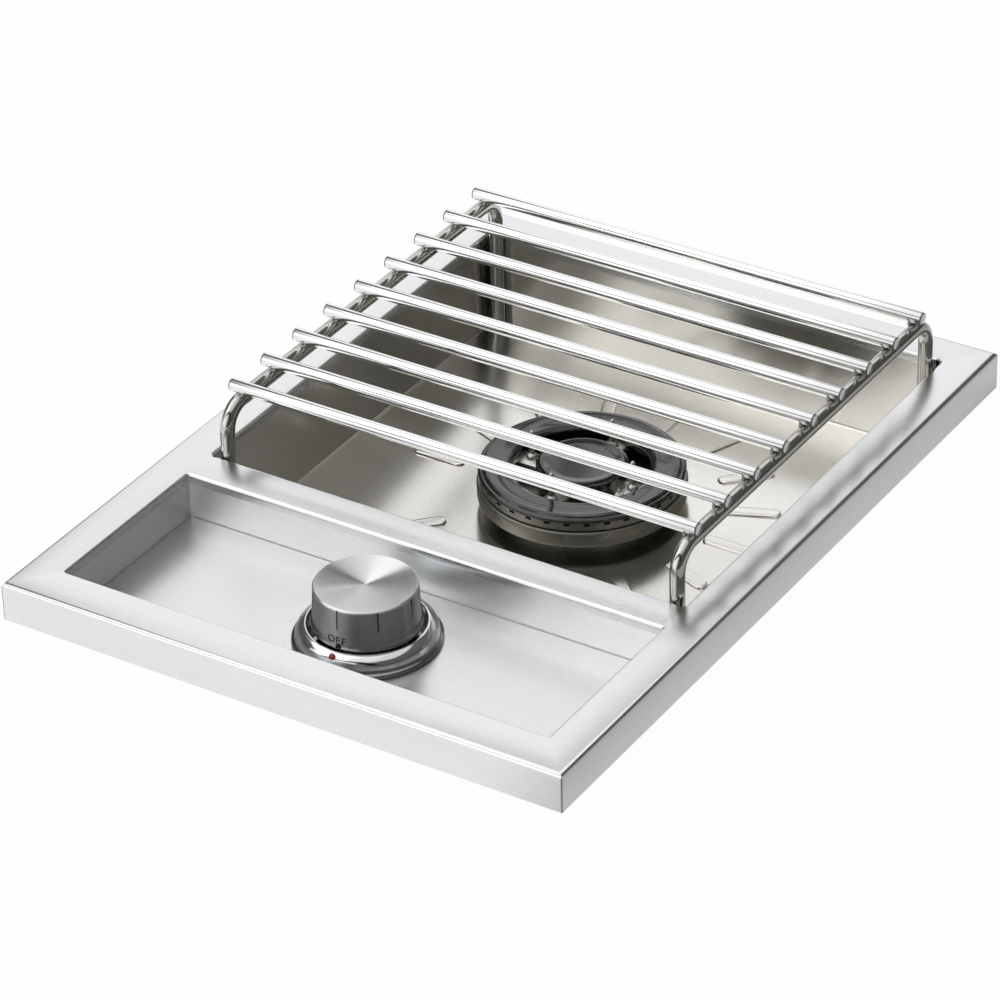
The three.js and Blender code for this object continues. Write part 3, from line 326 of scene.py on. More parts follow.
    def cut(self, tool: "Workpiece") -> None:
        """Cuts another piece's shape out of this one, and removes that piece."""
        self.modify("BOOLEAN", operation="DIFFERENCE", solver="EXACT", object=tool.obj)
        bpy.data.objects.remove(tool.obj)

    def take_in(self, *others: "Workpiece") -> None:
        """Joins other pieces into this one.

        Args:
            others: The pieces that are joined to it.
        """
        self.hold(*others)
        bpy.ops.object.join()
        bpy.ops.object.mode_set(mode="EDIT")

    def copied(self, name: str, shift: float = 0.0, turn: float = 0.0, axis_y: float = 0.0) -> "Workpiece":
        """Copies the piece with its mesh, and puts the copy in place.

        Args:
            name: The copy's name.
            shift: How far it moves along Y.
            turn: How far it turns round an upright axis at x = 0, in degrees.
            axis_y: That axis's place along Y.

        Returns:
            The copy.
        """
        self.hold()
        bpy.ops.object.duplicate(linked=False)
        if turn:
            bpy.ops.transform.rotate(
                value=math.radians(-turn), orient_axis="Z", center_override=metres(0.0, axis_y, 0.0))
        self.move(y=shift)
        return Workpiece(name)

    def around(self, name: str, axis_y: float, turns: Sequence[float]) -> "Workpiece":
        """Sets copies of the piece round an upright axis, in place of the piece itself.

        Args:
            name: The name of the joined copies.
            axis_y: The axis's place along Y.
            turns: How far each copy is turned, in degrees.

        Returns:
            The joined copies.
        """
        first, *others = [self.copied(name, turn=turn, axis_y=axis_y) for turn in turns]
        bpy.data.objects.remove(self.obj)
        first.take_in(*others)
        return first

    def finish(self, body: str, coat: "Finish", stands_for: str = "", angle: float = 30.0) -> None:
        """Smooths the piece, coats it and fastens it to its body.

        Args:
            body: The body it rides on.
            coat: Its finish.
            stands_for: The CAD node that it replaces.
            angle: The angle above which an edge stays sharp, in degrees.
        """
        self.hold()
        bpy.ops.object.shade_smooth_by_angle(angle=math.radians(angle), keep_sharp_edges=False)
        self.obj.data.materials.clear()
        self.obj.data.materials.append(coat.material())
        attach(self.obj, body)
        if stands_for:
            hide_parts(stands_for)
        LOG.info("%s: %d faces, rides on %s", self.obj.name, len(self.obj.data.polygons), body)


class Value:
    """A number in a material, with arithmetic that adds Math nodes."""

    def __init__(self, shade: "Shade", socket: bpy.types.NodeSocket) -> None:
        """Wraps a socket of one shade's nodes."""
        self.shade = shade
        self.socket = socket

    def _maths(self, operation: str, *terms: "Value | float") -> "Value":
        """Adds one Math node on the given terms."""
        return self.shade.add("ShaderNodeMath", dict(enumerate(terms)), operation=operation)

    def __add__(self, other: "Value | float") -> "Value":
        """Adds."""
        return self._maths("ADD", self, other)

    def __sub__(self, other: "Value | float") -> "Value":
        """Subtracts."""
        return self._maths("SUBTRACT", self, other)

    def __rsub__(self, other: float) -> "Value":
        """Subtracts from a number."""
        return self._maths("SUBTRACT", other, self)

    def __mul__(self, other: "Value | float") -> "Value":
        """Multiplies."""
        return self._maths("MULTIPLY", self, other)

    def __pow__(self, other: "Value | float") -> "Value":
        """Raises to a power."""
        return self._maths("POWER", self, other)

    __radd__ = __add__
    __rmul__ = __mul__

    def size(self) -> "Value":
        """Returns the value without its sign."""
        return self._maths("ABSOLUTE", self)

    def most(self, other: "Value | float") -> "Value":
        """Returns the larger of two values."""
        return self._maths("MAXIMUM", self, other)

    def rise(self, low: float, high: float) -> "Value":
        """Returns 0 below low and 1 above high, with a smooth step between."""
        return self.shade.add("ShaderNodeMapRange", {"Value": self, "From Min": low, "From Max": high},
                              interpolation_type="SMOOTHSTEP")

    def beyond(self, edge: float, start: float, end: float) -> "Value":
        """Returns a step that rises from start to end millimetres beyond an edge."""
        return self.rise((edge + start) * MM, (edge + end) * MM)

    def sibling(self, name: str) -> "Value":
        """Returns another output of the same node."""
        return Value(self.shade, self.socket.node.outputs[name])


class Shade:
    """One node material or world, built node by node."""

    def __init__(self, owner: bpy.types.Material | bpy.types.World) -> None:
        """Empties the owner's nodes and keeps its tree.

        Args:
            owner: The material or world.
        """
        owner.use_nodes = True
        self.tree = owner.node_tree
        self.tree.nodes.clear()

    def add(
        self, kind: str, inputs: dict[str | int, object] | None = None, output: str | int = 0,
        **settings: object,
    ) -> Value:
        """Adds one node.

        Args:
            kind: The node's type.
            inputs: Values or links for its sockets, by name or number.
            output: The output socket that is wanted.
            settings: Its own settings, which are set first.

        Returns:
            That output, wrapped.
        """
        node = self.tree.nodes.new(kind)
        for name, value in settings.items():
            setattr(node, name, value)
        for name, value in (inputs or {}).items():
            if isinstance(value, Value):
                self.tree.links.new(value.socket, node.inputs[name])
            else:
                node.inputs[name].default_value = value
        return Value(self, node.outputs[output] if len(node.outputs) else None)

    def place(self) -> Value:
        """Returns the point on the object in metres."""
        return self.add("ShaderNodeTexCoord", output="Object")

    def axes(self, point: Value) -> tuple[Value, Value, Value]:
        """Splits a point into its three numbers."""
        split = self.add("ShaderNodeSeparateXYZ", {"Vector": point})
        return tuple(split.sibling(name) for name in "XYZ")

    def mapped(self, point: Value, stretch: Spot = (1.0, 1.0, 1.0), shift: Spot = ORIGIN) -> Value:
        """Stretches and shifts a point."""
        return self.add("ShaderNodeMapping", {"Vector": point, "Scale": stretch, "Location": shift})

    def noise(self, point: Value, scale: float, detail: float = 2.0, rough: float = 0.5) -> Value:
        """Returns noise from 0 to 1 at a scale in cells per metre."""
        inputs = {"Vector": point, "Scale": scale, "Detail": detail, "Roughness": rough}
        return self.add("ShaderNodeTexNoise", inputs, "Fac")

    def blend(self, share: Value | float, low: object, high: object) -> Value:
        """Mixes a second colour into a first by a share."""
        return self.add("ShaderNodeMix", {0: share, 6: low, 7: high}, 2, data_type="RGBA", blend_type="MIX")

    def bump(self, height: Value, strength: float, distance: float) -> Value:
        """Turns a height into a normal, with its distance in millimetres."""
        return self.add("ShaderNodeBump", {"Height": height, "Strength": strength, "Distance": distance * MM})


def linear(*levels: int) -> tuple[float, ...]:
    """Turns a screen colour of 0 to 255 into a linear one with alpha."""
    tones = (level / 255 for level in levels)
    return (*(tone / 12.92 if tone <= 0.04045 else ((tone + 0.055) / 1.055) ** 2.4 for tone in tones), 1.0)


@dataclass(frozen=True)
class Finish:
    """A finish that knows its name, its slot and its colour."""

    name: str
    slot: str
    colour: tuple[int, int, int]
    roughness: float = 0.4

    def tinted(self, shade: Shade, share: Value, light: float, dark: float) -> Value:
        """Varies the finish's colour from dark to light.

        Args:
            shade: The material's nodes.
            share: The value that it follows, from 0 to 1.
            light: How bright it gets, as a share of the colour.
            dark: How dark it gets.

        Returns:
            The varied colour.
        """
        colour = shade.add("ShaderNodeValToRGB", {"Fac": share}, "Color")
        for element, place, gain in zip(colour.socket.node.color_ramp.elements, (0.3, 0.7), (dark, light)):
            element.position = place
            element.color = [min(1.0, part * gain) for part in linear(*self.colour)[:3]] + [1.0]
        return colour

    def inputs(self, shade: Shade, point: Value) -> dict[str, object]:
        """Returns the shader's inputs by socket name, for a point on the object."""
        raise NotImplementedError

    @cache
    def material(self) -> bpy.types.Material:
        """Makes the finish's material, once.

        Returns:
            The material.
        """
        made = bpy.data.materials.new(self.name)
        shade = Shade(made)
        shader = shade.add("ShaderNodeBsdfPrincipled", self.inputs(shade, shade.place()))
        shade.add("ShaderNodeOutputMaterial", {"Surface": shader})
        LOG.info("finish %s", self.name)
        return made


@dataclass(frozen=True)
class BrushedSheet(Finish):
    """Satin sheet steel: fine brush lines, faint clouding and small handling marks."""

    grain: Grain = Grain.ACROSS
    clouding: float = 0.05
    seams: bool = False
    relief: float = 0.13

    def inputs(self, shade: Shade, point: Value) -> dict[str, object]:
        """Brushes the sheet, and darkens the folded corners where it has seams.

        Args:
            shade: The material's nodes.
            point: The point on the object.

        Returns:
            The shader's inputs by socket name.
        """
        lines = shade.noise(shade.mapped(point, self.grain.stretch(0.12)), 2600.0, 3.0, 0.6)
        broad = shade.noise(point, 330.0, 4.0, 0.6)
        clouds = shade.noise(point, 14.0, 3.0)
        marks = shade.noise(point, 160.0, 5.0, 0.7).rise(0.66, 0.8)
        tone = lines * 0.3 + broad * 0.4 + clouds * 0.3
        colour = self.tinted(shade, tone, 1.0 + self.clouding, 1.0 - self.clouding)
        if self.seams:
            x, y, z = shade.axes(point)
            edge = x.size().beyond(HALF_WIDTH, -1.2, -0.3) * y.size().beyond(HALF_DEPTH, -1.2, -0.3)
            low = 1.0 - z.beyond(TOP_Z, -2.2, -1.2)
            colour = shade.blend(edge * low * 0.75, colour, linear(88, 90, 92))
        rough = lines * 0.08 + clouds * 0.06 + marks * 0.06 + (self.roughness - 0.08)
        bump = shade.bump(lines * 0.4 + broad * 0.6, self.relief, 0.03)
        return {"Base Color": colour, "Metallic": 1.0, "Roughness": rough, "Normal": bump}


@dataclass(frozen=True)
class PolishedRod(Finish):
    """Polished round bar with faint draw lines, dulled spots and a painted dark reflection ring at each cut
    end.
    """

    grain: Grain = Grain.ACROSS
    end: float = 0.0

    def inputs(self, shade: Shade, point: Value) -> dict[str, object]:
        """Polishes the bar, and paints dark reflection rings where its ends are.

        Args:
            shade: The material's nodes.
            point: The point on the object.

        Returns:
            The shader's inputs by socket name.
        """
        lines = shade.noise(shade.mapped(point, self.grain.stretch(0.01)), 3000.0, 2.0)
        patches = shade.noise(point, 60.0, 4.0)
        colour = self.tinted(shade, lines * 0.5 + patches * 0.5, 1.03, 0.95)
        if self.end:
            # Painted reflection: a dark ring over each chamfered end, where a polished chamfer would mirror
            # dark surroundings.
            reach = shade.axes(point)[0].size()
            ring = reach.beyond(self.end, -1.3, -1.0) * (1.0 - reach.beyond(self.end, -0.4, -0.1))
            colour = shade.blend(ring * 0.8, colour, linear(40, 40, 42))
        rough = patches * 0.08 + lines * 0.05 + (self.roughness - 0.06)
        bump = shade.bump(lines, 0.12, 0.01)
        return {"Base Color": colour, "Metallic": 1.0, "Roughness": rough, "Normal": bump}


@dataclass(frozen=True)
class SpunMetal(Finish):
    """Metal turned on a lathe: fine rings round the knob's axis, with painted shade on the side below the
    face.
    """

    ring_pitch: float = 0.22
    anisotropy: float = 0.0
    dish: float = 0.0
    face: float = 0.0
    painted_shade_side_tone: float = 1.0

    def inputs(self, shade: Shade, point: Value) -> dict[str, object]:
        """Turns the rings, and paints shade on the side under the face, which is also smoother.

        Args:
            shade: The material's nodes.
            point: The point on the object.

        Returns:
            The shader's inputs by socket name.
        """
        centred = shade.mapped(point, shift=metres(0.0, -KNOB_Y, 0.0))
        x, y, z = shade.axes(centred)
        radius = (x * x + y * y) ** 0.5
        track = shade.add("ShaderNodeCombineXYZ", {0: radius, 1: z, 2: 0.0})
        rings = shade.noise(track, 1.0 / (self.ring_pitch * MM), 3.0, 0.7)
        broad = shade.noise(track, 260.0, 2.0)
        patches = shade.noise(centred, 70.0, 3.0)
        colour = self.tinted(shade, rings * 0.4 + broad * 0.3 + patches * 0.3, 1.06, 0.93)
        # Painted shade: below the face the colour is darkened towards black, for the dark surroundings that
        # the side mirrors.
        side = 1.0 - z.beyond(self.face, -1.0, -0.2)
        colour = shade.blend(side * (1.0 - self.painted_shade_side_tone), colour, (0.0, 0.0, 0.0, 1.0))
        rough = rings * 0.06 + patches * 0.05 + (self.roughness - 0.05) - side * (self.roughness * 0.4)
        return {
            "Base Color": colour, "Metallic": 1.0, "Roughness": rough, "Anisotropic": self.anisotropy,
            "Anisotropic Rotation": 0.25, "Normal": shade.bump(radius * self.dish, 1.0, 1000.0)}


@dataclass(frozen=True)
class CastMetal(Finish):
    """As-cast or plated metal: fine grain, stains and lighter worn grain tops."""

    grain: float = 900.0
    depth: float = 0.06
    detail: float = 4.0
    stain: float = 60.0
    grain_share: float = 0.4
    light: float = 1.1
    dark: float = 0.9
    grain_rough: float = 0.16
    stain_rough: float = 0.12
    strength: float = 0.25
    metal: float = 0.9
    gloss: float = 0.0

    def inputs(self, shade: Shade, point: Value) -> dict[str, object]:
        """Grains and stains the surface.

        Args:
            shade: The material's nodes.
            point: The point on the object.

        Returns:
            The shader's inputs by socket name.
        """
        grains = shade.noise(point, self.grain, self.detail, 0.6)
        stains = shade.noise(point, self.stain, self.detail)
        tone = grains * self.grain_share + stains * (1.0 - self.grain_share)
        middle = (self.grain_rough + self.stain_rough) / 2
        return {
            "Base Color": self.tinted(shade, tone, self.light, self.dark), "Metallic": self.metal,
            "Roughness": grains * self.grain_rough + stains * self.stain_rough + (self.roughness - middle),
            "Coat Weight": self.gloss, "Normal": shade.bump(grains, self.strength, self.depth)}


@dataclass(frozen=True)
class Moulded(CastMetal):
    """Moulded plastic or paint with a fine even grain."""

    grain: float = 2200.0
    depth: float = 0.03
    detail: float = 3.0
    stain: float = 150.0
    grain_share: float = 0.5
    light: float = 1.15
    dark: float = 0.88
    grain_rough: float = 0.12
    stain_rough: float = 0.08
    strength: float = 0.3
    metal: float = 0.0


@dataclass(frozen=True)
class Enamel(Finish):
    """Dark vitreous enamel: a glossy coat over a faint orange-peel surface."""

    coat: float = 0.6

    def inputs(self, shade: Shade, point: Value) -> dict[str, object]:
        """Glazes the surface, with a little pale dust.

        Args:
            shade: The material's nodes.
            point: The point on the object.

        Returns:
            The shader's inputs by socket name.
        """
        peel = shade.noise(point, 420.0, 2.0)
        dust = shade.noise(point, 1500.0, 3.0, 0.7).rise(0.6, 0.8)
        stains = shade.noise(point, 45.0, 4.0)
        colour = shade.blend(dust * 0.25, self.tinted(shade, stains, 1.2, 0.82), linear(150, 150, 150))
        rough = stains * 0.12 + dust * 0.2 + (self.roughness - 0.06)
        return {
            "Base Color": colour, "Metallic": 0.0, "Roughness": rough, "Coat Weight": self.coat,
            "Coat Roughness": 0.06, "Normal": shade.bump(peel, 0.12, 0.05)}


@dataclass(frozen=True)
class Ceramic(Finish):
    """Glazed white ceramic with faint specks."""

    def inputs(self, shade: Shade, point: Value) -> dict[str, object]:
        """Specks the glaze.

        Args:
            shade: The material's nodes.
            point: The point on the object.

        Returns:
            The shader's inputs by socket name.
        """
        specks = shade.noise(point, 1400.0, 3.0).rise(0.62, 0.78)
        clouds = shade.noise(point, 120.0, 3.0)
        colour = shade.blend(specks * 0.35, self.tinted(shade, clouds, 1.04, 0.94), linear(176, 168, 156))
        rough = specks * 0.2 + self.roughness
        return {"Base Color": colour, "Roughness": rough, "Normal": shade.bump(clouds, 0.2, 0.05)}


class Palette:
    """All finishes of the burner."""

    FRAME = BrushedSheet("satin frame steel", "brushed_frame", (236, 237, 238), 0.27, seams=True, relief=0.08)
    TRAY = BrushedSheet("satin tray steel", "tray_steel", (242, 243, 243), 0.33, relief=0.03)
    WELL = BrushedSheet("annealed well steel", "pan_steel", (238, 236, 231), 0.2, clouding=0.07, relief=0.08)
    CASING = BrushedSheet("plain casing steel", "casing_steel", (188, 190, 192), 0.46, Grain.ALONG)
    ROD = PolishedRod("polished rod", "polished_rod", (242, 243, 244), 0.1, end=157.8)
    # Painted shade: the rails are the rods' steel with a darker colour, for the dark surroundings that the
    # legs mirror.
    RAIL = PolishedRod("shaded polished rail", "polished_rod", (200, 199, 195), 0.13, Grain.ALONG)
    WELD = CastMetal("weld metal", "polished_rod", (176, 174, 170), 0.4, 700.0, 0.1)
    # The knob and the bezel carry painted shade on their sides below the face.
    KNOB = SpunMetal("spun knob metal", "knob_metal", (224, 224, 224), 0.31,
                     anisotropy=0.98, dish=0.36, face=121.8, painted_shade_side_tone=0.53)
    CHROME = SpunMetal("bezel chrome", "bezel_chrome", (226, 228, 230), 0.07, 0.5, face=91.8, painted_shade_side_tone=0.4)
    ALLOY = CastMetal("burner alloy", "burner_alloy", (140, 139, 131), 0.3)
    # Painted light: the arms and posts are the crown's own alloy with a much lighter colour, for the light
    # and glints that fall on them.
    LIT_ALLOY = CastMetal("burner alloy painted light", "burner_alloy", (226, 225, 220), 0.4)
    CAP = Enamel("cap enamel", "cap_enamel", (12, 13, 16), 0.12, 0.9)
    BRASS = CastMetal("turned brass", "brass", (196, 164, 96), 0.32, 1200.0, 0.02)
    ZINC = CastMetal("zinc plate", "zinc_steel", (178, 180, 178), 0.42, 800.0, 0.03)
    CERAMIC = Ceramic("electrode ceramic", "electrode_ceramic", (238, 234, 226), 0.26)
    PLASTIC = Moulded("matt black plastic", "black_plastic", (44, 44, 47), 0.55)
    MARK = Moulded("black mark paint", "black_plastic", (34, 34, 36), 0.5)
    RED = Moulded("red indicator paint", "red_paint", (138, 26, 24), 0.35, gloss=0.4)


@dataclass
class Body:
    """The folded top frame and the two pans, whose skins run on through small bends."""

    skirt: float = 25.0
    lip: float = 12.0
    top_bend: float = 2.8
    low_bend: float = 1.0
    corner_seam: float = 0.5
    opening_bend: float = 2.0
    well_bend: float = 1.6
    corner: float = 0.8
    well_corner: float = 2.2
    flange_drop: float = 6.0
    tray_y: float = -164.5
    tray_run: float = 120.0
    tray_floor: float = 86.0
    back_border: float = 26.0
    well_run: float = 306.5
    well_floor: float = 49.0
    bend_steps: int = 5
    least_inset: float = 0.002
    rib_count: int = 16
    flat_place: int = 9
    rib_inner: float = 84.0
    rib_outer: float = 120.0
    rib_width: float = 9.5
    rib_sunk: float = 0.1
    rib_steps: Profile = ((0.1, 0.45), (0.2, 0.45), (0.35, 0.4), (0.5, 0.22), (0.8, 0.1), (1.0, 0.05))
    stem_hole: float = 6.0
    neck_hole: float = 22.4
    notch: float = 1.3
    notch_x: float = 157.6
    notch_reach: tuple[float, float] = (-0.9, 0.5)
    tool_length: float = 10.0
    groove: float = 0.72

    @property
    def well_y(self) -> float:
        """Returns the well's middle along Y."""
        return HALF_DEPTH - self.back_border - self.well_run / 2

    @staticmethod
    def at_rim(middle: Vector) -> bool:
        """Tells whether a point is on the frame's outer edge."""
        return abs(abs(middle.x) - HALF_WIDTH) < CLOSE or abs(abs(middle.y) - HALF_DEPTH) < CLOSE

    def bend_in(self, piece: Workpiece, radius: float, start: float, end: float) -> None:
        """Takes a selected face through a round bend by insets.

        Args:
            piece: The piece, with its face selected.
            radius: The bend's radius.
            start: The angle of the skin where the bend starts, 0 for flat and 90 for upright.
            end: The angle where it ends.
        """
        sign = 1.0 if end > start else -1.0
        for step in range(self.bend_steps):
            angles = [start + (end - start) * (step + k) / self.bend_steps for k in (0, 1)]
            first, last = (math.radians(angle) for angle in angles)
            width = sign * radius * (math.sin(last) - math.sin(first))
            drop = sign * radius * (math.cos(first) - math.cos(last))
            piece.inset(max(width, self.least_inset), -drop)

    def opening(self, name: str, y: float, run: float, corner: float) -> Workpiece:
        """Draws the bent edge of one opening, down to the end of its flange.

        Args:
            name: The opening's name.
            y: Its middle along Y.
            run: Its size along Y.
            corner: The radius of its corners.

        Returns:
            The open skin.
        """
        grow = 2 * self.opening_bend
        at = (0.0, y, TOP_Z)
        piece = Workpiece.plate(name, 2 * OPENING_HALF + grow, run + grow, at, corner + self.opening_bend)
        self.bend_in(piece, self.opening_bend, 0.0, 90.0)
        piece.extrude(z=self.opening_bend - self.flange_drop)
        piece.open_up()
        return piece

    def top_frame(self) -> None:
        """Folds the top sheet with its skirt, turned-in lip and two openings."""
        piece = Workpiece.plate("frame_skin", 2 * HALF_WIDTH, 2 * HALF_DEPTH, (0.0, 0.0, TOP_Z))
        piece.open_up()
        tray = self.opening("tray_edge", self.tray_y, self.tray_run, self.corner)
        well = self.opening("well_edge", self.well_y, self.well_run, self.well_corner)
        piece.take_in(tray, well)
        piece.pick(Pick.EDGES, lambda middle, way: abs(middle.z - TOP_Z) < CLOSE and abs(way.z) < CLOSE)
        bpy.ops.mesh.fill(use_beauty=True)
        piece.merge()
        piece.pick(Pick.EDGES, lambda middle, _: self.at_rim(middle)).extrude(z=-self.skirt)
        piece.extrude()
        low = TOP_Z - self.skirt
        piece.scale((1 - self.lip / HALF_WIDTH, 1 - self.lip / HALF_DEPTH, 1.0), (0.0, 0.0, low))
        piece.face_outwards()
        piece.thicken()
        piece.face_outwards()
        for level, radius, steps in ((TOP_Z, self.top_bend, 4), (low, self.low_bend, 3)):
            piece.pick(Pick.EDGES, lambda middle, way: (
                abs(way.z) < 0.5 and abs(middle.z - level) < CLOSE and self.at_rim(middle)))
            piece.bevel(radius, steps)
        piece.pick(Pick.EDGES, lambda middle, way: abs(way.z) > 0.9 and (
            abs(middle.x) > HALF_WIDTH - CLOSE and abs(middle.y) > HALF_DEPTH - CLOSE))
        piece.bevel(self.corner_seam, 2)
        for x in (-self.notch_x, self.notch_x):
            for side, reach in zip(SIDES, self.notch_reach):
                at = (x, self.well_y + side * self.well_run / 2 + reach, TOP_Z)
                piece.cut(Workpiece.disc("notch_cutter", self.notch, 3 * self.tool_length, at, 24))
        piece.finish("root", Palette.FRAME, "top_frame", FINE_ANGLE)

    def pan(self, name: str, y: float, run: float, floor: float, bend: float) -> Workpiece:
        """Draws a pan from its top edge down to its floor.

        Args:
            name: The pan's name.
            y: Its middle along Y.
            run: Its size along Y.
            floor: The level of its floor.
            bend: The radius of its floor bend, or 0 for a seam with a fine groove.

        Returns:
            The pan, with its wall's thickness.
        """
        top = TOP_Z - self.flange_drop
        corner = self.well_corner if bend else self.corner
        piece = Workpiece.plate(name, 2 * OPENING_HALF, run, (0.0, y, top), corner)
        if bend:
            piece.extrude(z=floor + bend - top)
            self.bend_in(piece, bend, 90.0, 0.0)
        else:
            piece.extrude(z=floor - self.groove - top)
            piece.inset(self.groove)
            piece.extrude(z=self.groove)
        piece.pick(Pick.FACES, lambda middle, _: middle.z > top - CLOSE).open_up()
        piece.face_outwards()
        bpy.ops.mesh.flip_normals()
        piece.thicken()
        return piece

    def rib(self) -> Workpiece:
        """Presses one rib with round ends, to the right of the burner.

        Returns:
            The rib.
        """
        low = self.well_floor - self.rib_sunk
        at = ((self.rib_inner + self.rib_outer) / 2, BURNER_Y, low)
        length = self.rib_outer - self.rib_inner
        piece = Workpiece.plate("rib", length, self.rib_width, at, self.rib_width * 0.45)
        for width, rise in self.rib_steps:
            piece.inset(width, rise)
        piece.pick(Pick.EDGES, lambda middle, _: abs(middle.z - low) < CLOSE).extrude(z=-2 * self.rib_sunk)
        bpy.ops.mesh.edge_face_add()
        piece.face_outwards()
        return piece

    def control_tray(self) -> None:
        """Draws the control tray, with the valve's hole in its floor."""
        piece = self.pan("tray_skin", self.tray_y, self.tray_run, self.tray_floor, 0.0)
        at = (0.0, KNOB_Y, self.tray_floor)
        piece.cut(Workpiece.disc("stem_cutter", self.stem_hole, self.tool_length, at, 32))
        piece.finish("root", Palette.TRAY, "control_tray", FINE_ANGLE)

    def well_pan(self) -> None:
        """Draws the burner well, with its pressed ribs round the burner."""
        piece = self.pan("well_skin", self.well_y, self.well_run, self.well_floor, self.well_bend)
        at = (0.0, BURNER_Y, self.well_floor)
        piece.cut(Workpiece.disc("neck_cutter", self.neck_hole, self.tool_length, at, 64))
        turns = [360.0 * i / self.rib_count for i in range(self.rib_count) if i != self.flat_place]
        piece.take_in(self.rib().around("ribs", BURNER_Y, turns))
        piece.finish("root", Palette.WELL, "well_pan", FINE_ANGLE)

    def build(self) -> None:
        """Builds the frame and both pans."""
        self.top_frame()
        self.control_tray()
        self.well_pan()


@dataclass
class Grate:
    """Nine rods welded across two bent rails whose ends are the legs."""

    rod_count: int = 9
    rod_radius: float = 4.0
    rod_length: float = 315.6
    rod_pitch: float = 33.3
    rod_z: float = 153.5
    rod_chamfer: float = 1.0
    rail_radius: float = 4.5
    rail_x: float = 152.0
    rail_gap: float = 0.3
    front_leg: float = -74.4
    back_leg: float = 220.9
    foot_z: float = 49.3
    foot_chamfer: float = 0.5
    bend: float = 15.0
    weld_radius: float = 1.9
    weld_drop: float = 0.9
    weld_roughness: float = 0.0002

    def rod_y(self, place: int) -> float:
        """Returns a rod's place along Y, counted from 0 at the front."""
        return BURNER_Y + (place - self.rod_count // 2) * self.rod_pitch

    def rods(self) -> None:
        """Cuts one rod, chamfers its ends and copies it."""
        at = (0.0, self.rod_y(0), self.rod_z)
        first = Workpiece.disc("rod_1", self.rod_radius, self.rod_length, at, 40, ALONG_X)
        first.pick(Pick.FACES, lambda _, normal: abs(normal.x) > 0.9).bevel_outline(self.rod_chamfer)
        copies = [first.copied(f"rod_{i + 1}", i * self.rod_pitch) for i in range(1, self.rod_count)]
        for i, rod in enumerate([first, *copies], 1):
            rod.finish("grate", Palette.ROD, f"grate_rod_{i}")

    def rail(self, side: int) -> None:
        """Bends one rail from its front foot over the top to its back foot.

        Args:
            side: -1 for the left rail and 1 for the right one.
        """
        name = "left_rail" if side < 0 else "right_rail"
        x = side * self.rail_x
        high = self.rod_z - self.rod_radius - self.rail_radius - self.rail_gap - self.bend
        piece = Workpiece.ring(name, self.rail_radius, (x, self.front_leg, self.foot_z), 32)
        piece.extrude(z=high - self.foot_z)
        piece.bend(x, self.front_leg + self.bend, high)
        piece.extrude(y=self.back_leg - self.front_leg - 2 * self.bend)
        piece.bend(x, self.back_leg - self.bend, high)
        piece.extrude(z=self.foot_z - high)
        bpy.ops.mesh.edge_face_add()
        piece.pick(Pick.VERTICES, lambda middle, _: middle.z < self.foot_z + CLOSE and middle.y < 0.0)
        bpy.ops.mesh.edge_face_add()
        piece.pick(Pick.FACES, lambda middle, normal: abs(normal.z) > 0.99 and middle.z < self.foot_z + CLOSE)
        piece.bevel_outline(self.foot_chamfer)
        piece.face_outwards()
        piece.finish("grate", Palette.RAIL, f"grate_{name}")

    def welds(self) -> None:
        """Lays a small bead in the crook between each rod and each rail."""
        x = self.rail_x - self.rail_radius * 0.6
        z = self.rod_z - self.rod_radius - self.weld_drop
        beads = []
        for place in range(self.rod_count):
            for side in SIDES:
                at = (side * x, self.rod_y(place), z)
                bead = Workpiece.begin("grate_welds", bpy.ops.mesh.primitive_ico_sphere_add, at,
                                       subdivisions=3, radius=self.weld_radius * MM)
                beads.append(bead)
                bpy.ops.transform.vertex_random(offset=self.weld_roughness, seed=len(beads))
                bpy.ops.mesh.select_all(action="SELECT")
                bead.scale((1.0, 1.7, 0.9), at)
                bpy.ops.mesh.vertices_smooth(factor=0.5, repeat=2)
        beads[0].take_in(*beads[1:])
        beads[0].finish("grate", Palette.WELD, angle=60.0)

    def build(self) -> None:
        """Builds rods, rails and welds."""
        self.rods()
        for side in SIDES:
            self.rail(side)
        self.welds()


@dataclass(frozen=True)
class Ports:
    """The small ports in the outer side of a ring that is turned in so many steps."""

    radius: float
    low: float
    high: float
    count: int
    depth: float
    steps: int

    def takes(self, middle: Vector, normal: Vector) -> bool:
        """Tells whether a face is one of the two that a port takes.

        Args:
            middle: The face's middle.
            normal: Its normal.

        Returns:
            True for a face that is sunk.
        """
        y = middle.y - BURNER_Y
        if not self.low < middle.z < self.high or abs(normal.z) > 0.5:
            return False
        turn = math.atan2(y, middle.x) / math.tau * self.count
        near = abs(turn - round(turn)) / self.count * math.tau < math.tau / self.steps * 0.9
        return near and math.hypot(middle.x, y) >= self.radius * 0.97

    def ring(self, name: str, profile: Profile) -> Workpiece:
        """Turns the ring and sinks its ports.

        Args:
            name: The ring's name.
            profile: Its profile.

        Returns:
            The ring.
        """
        ring = Workpiece.turned(name, profile, 0.0, BURNER_Y, self.steps)
        ring.pick(Pick.FACES, self.takes).inset(0.12)
        ring.push(-self.depth)
        return ring


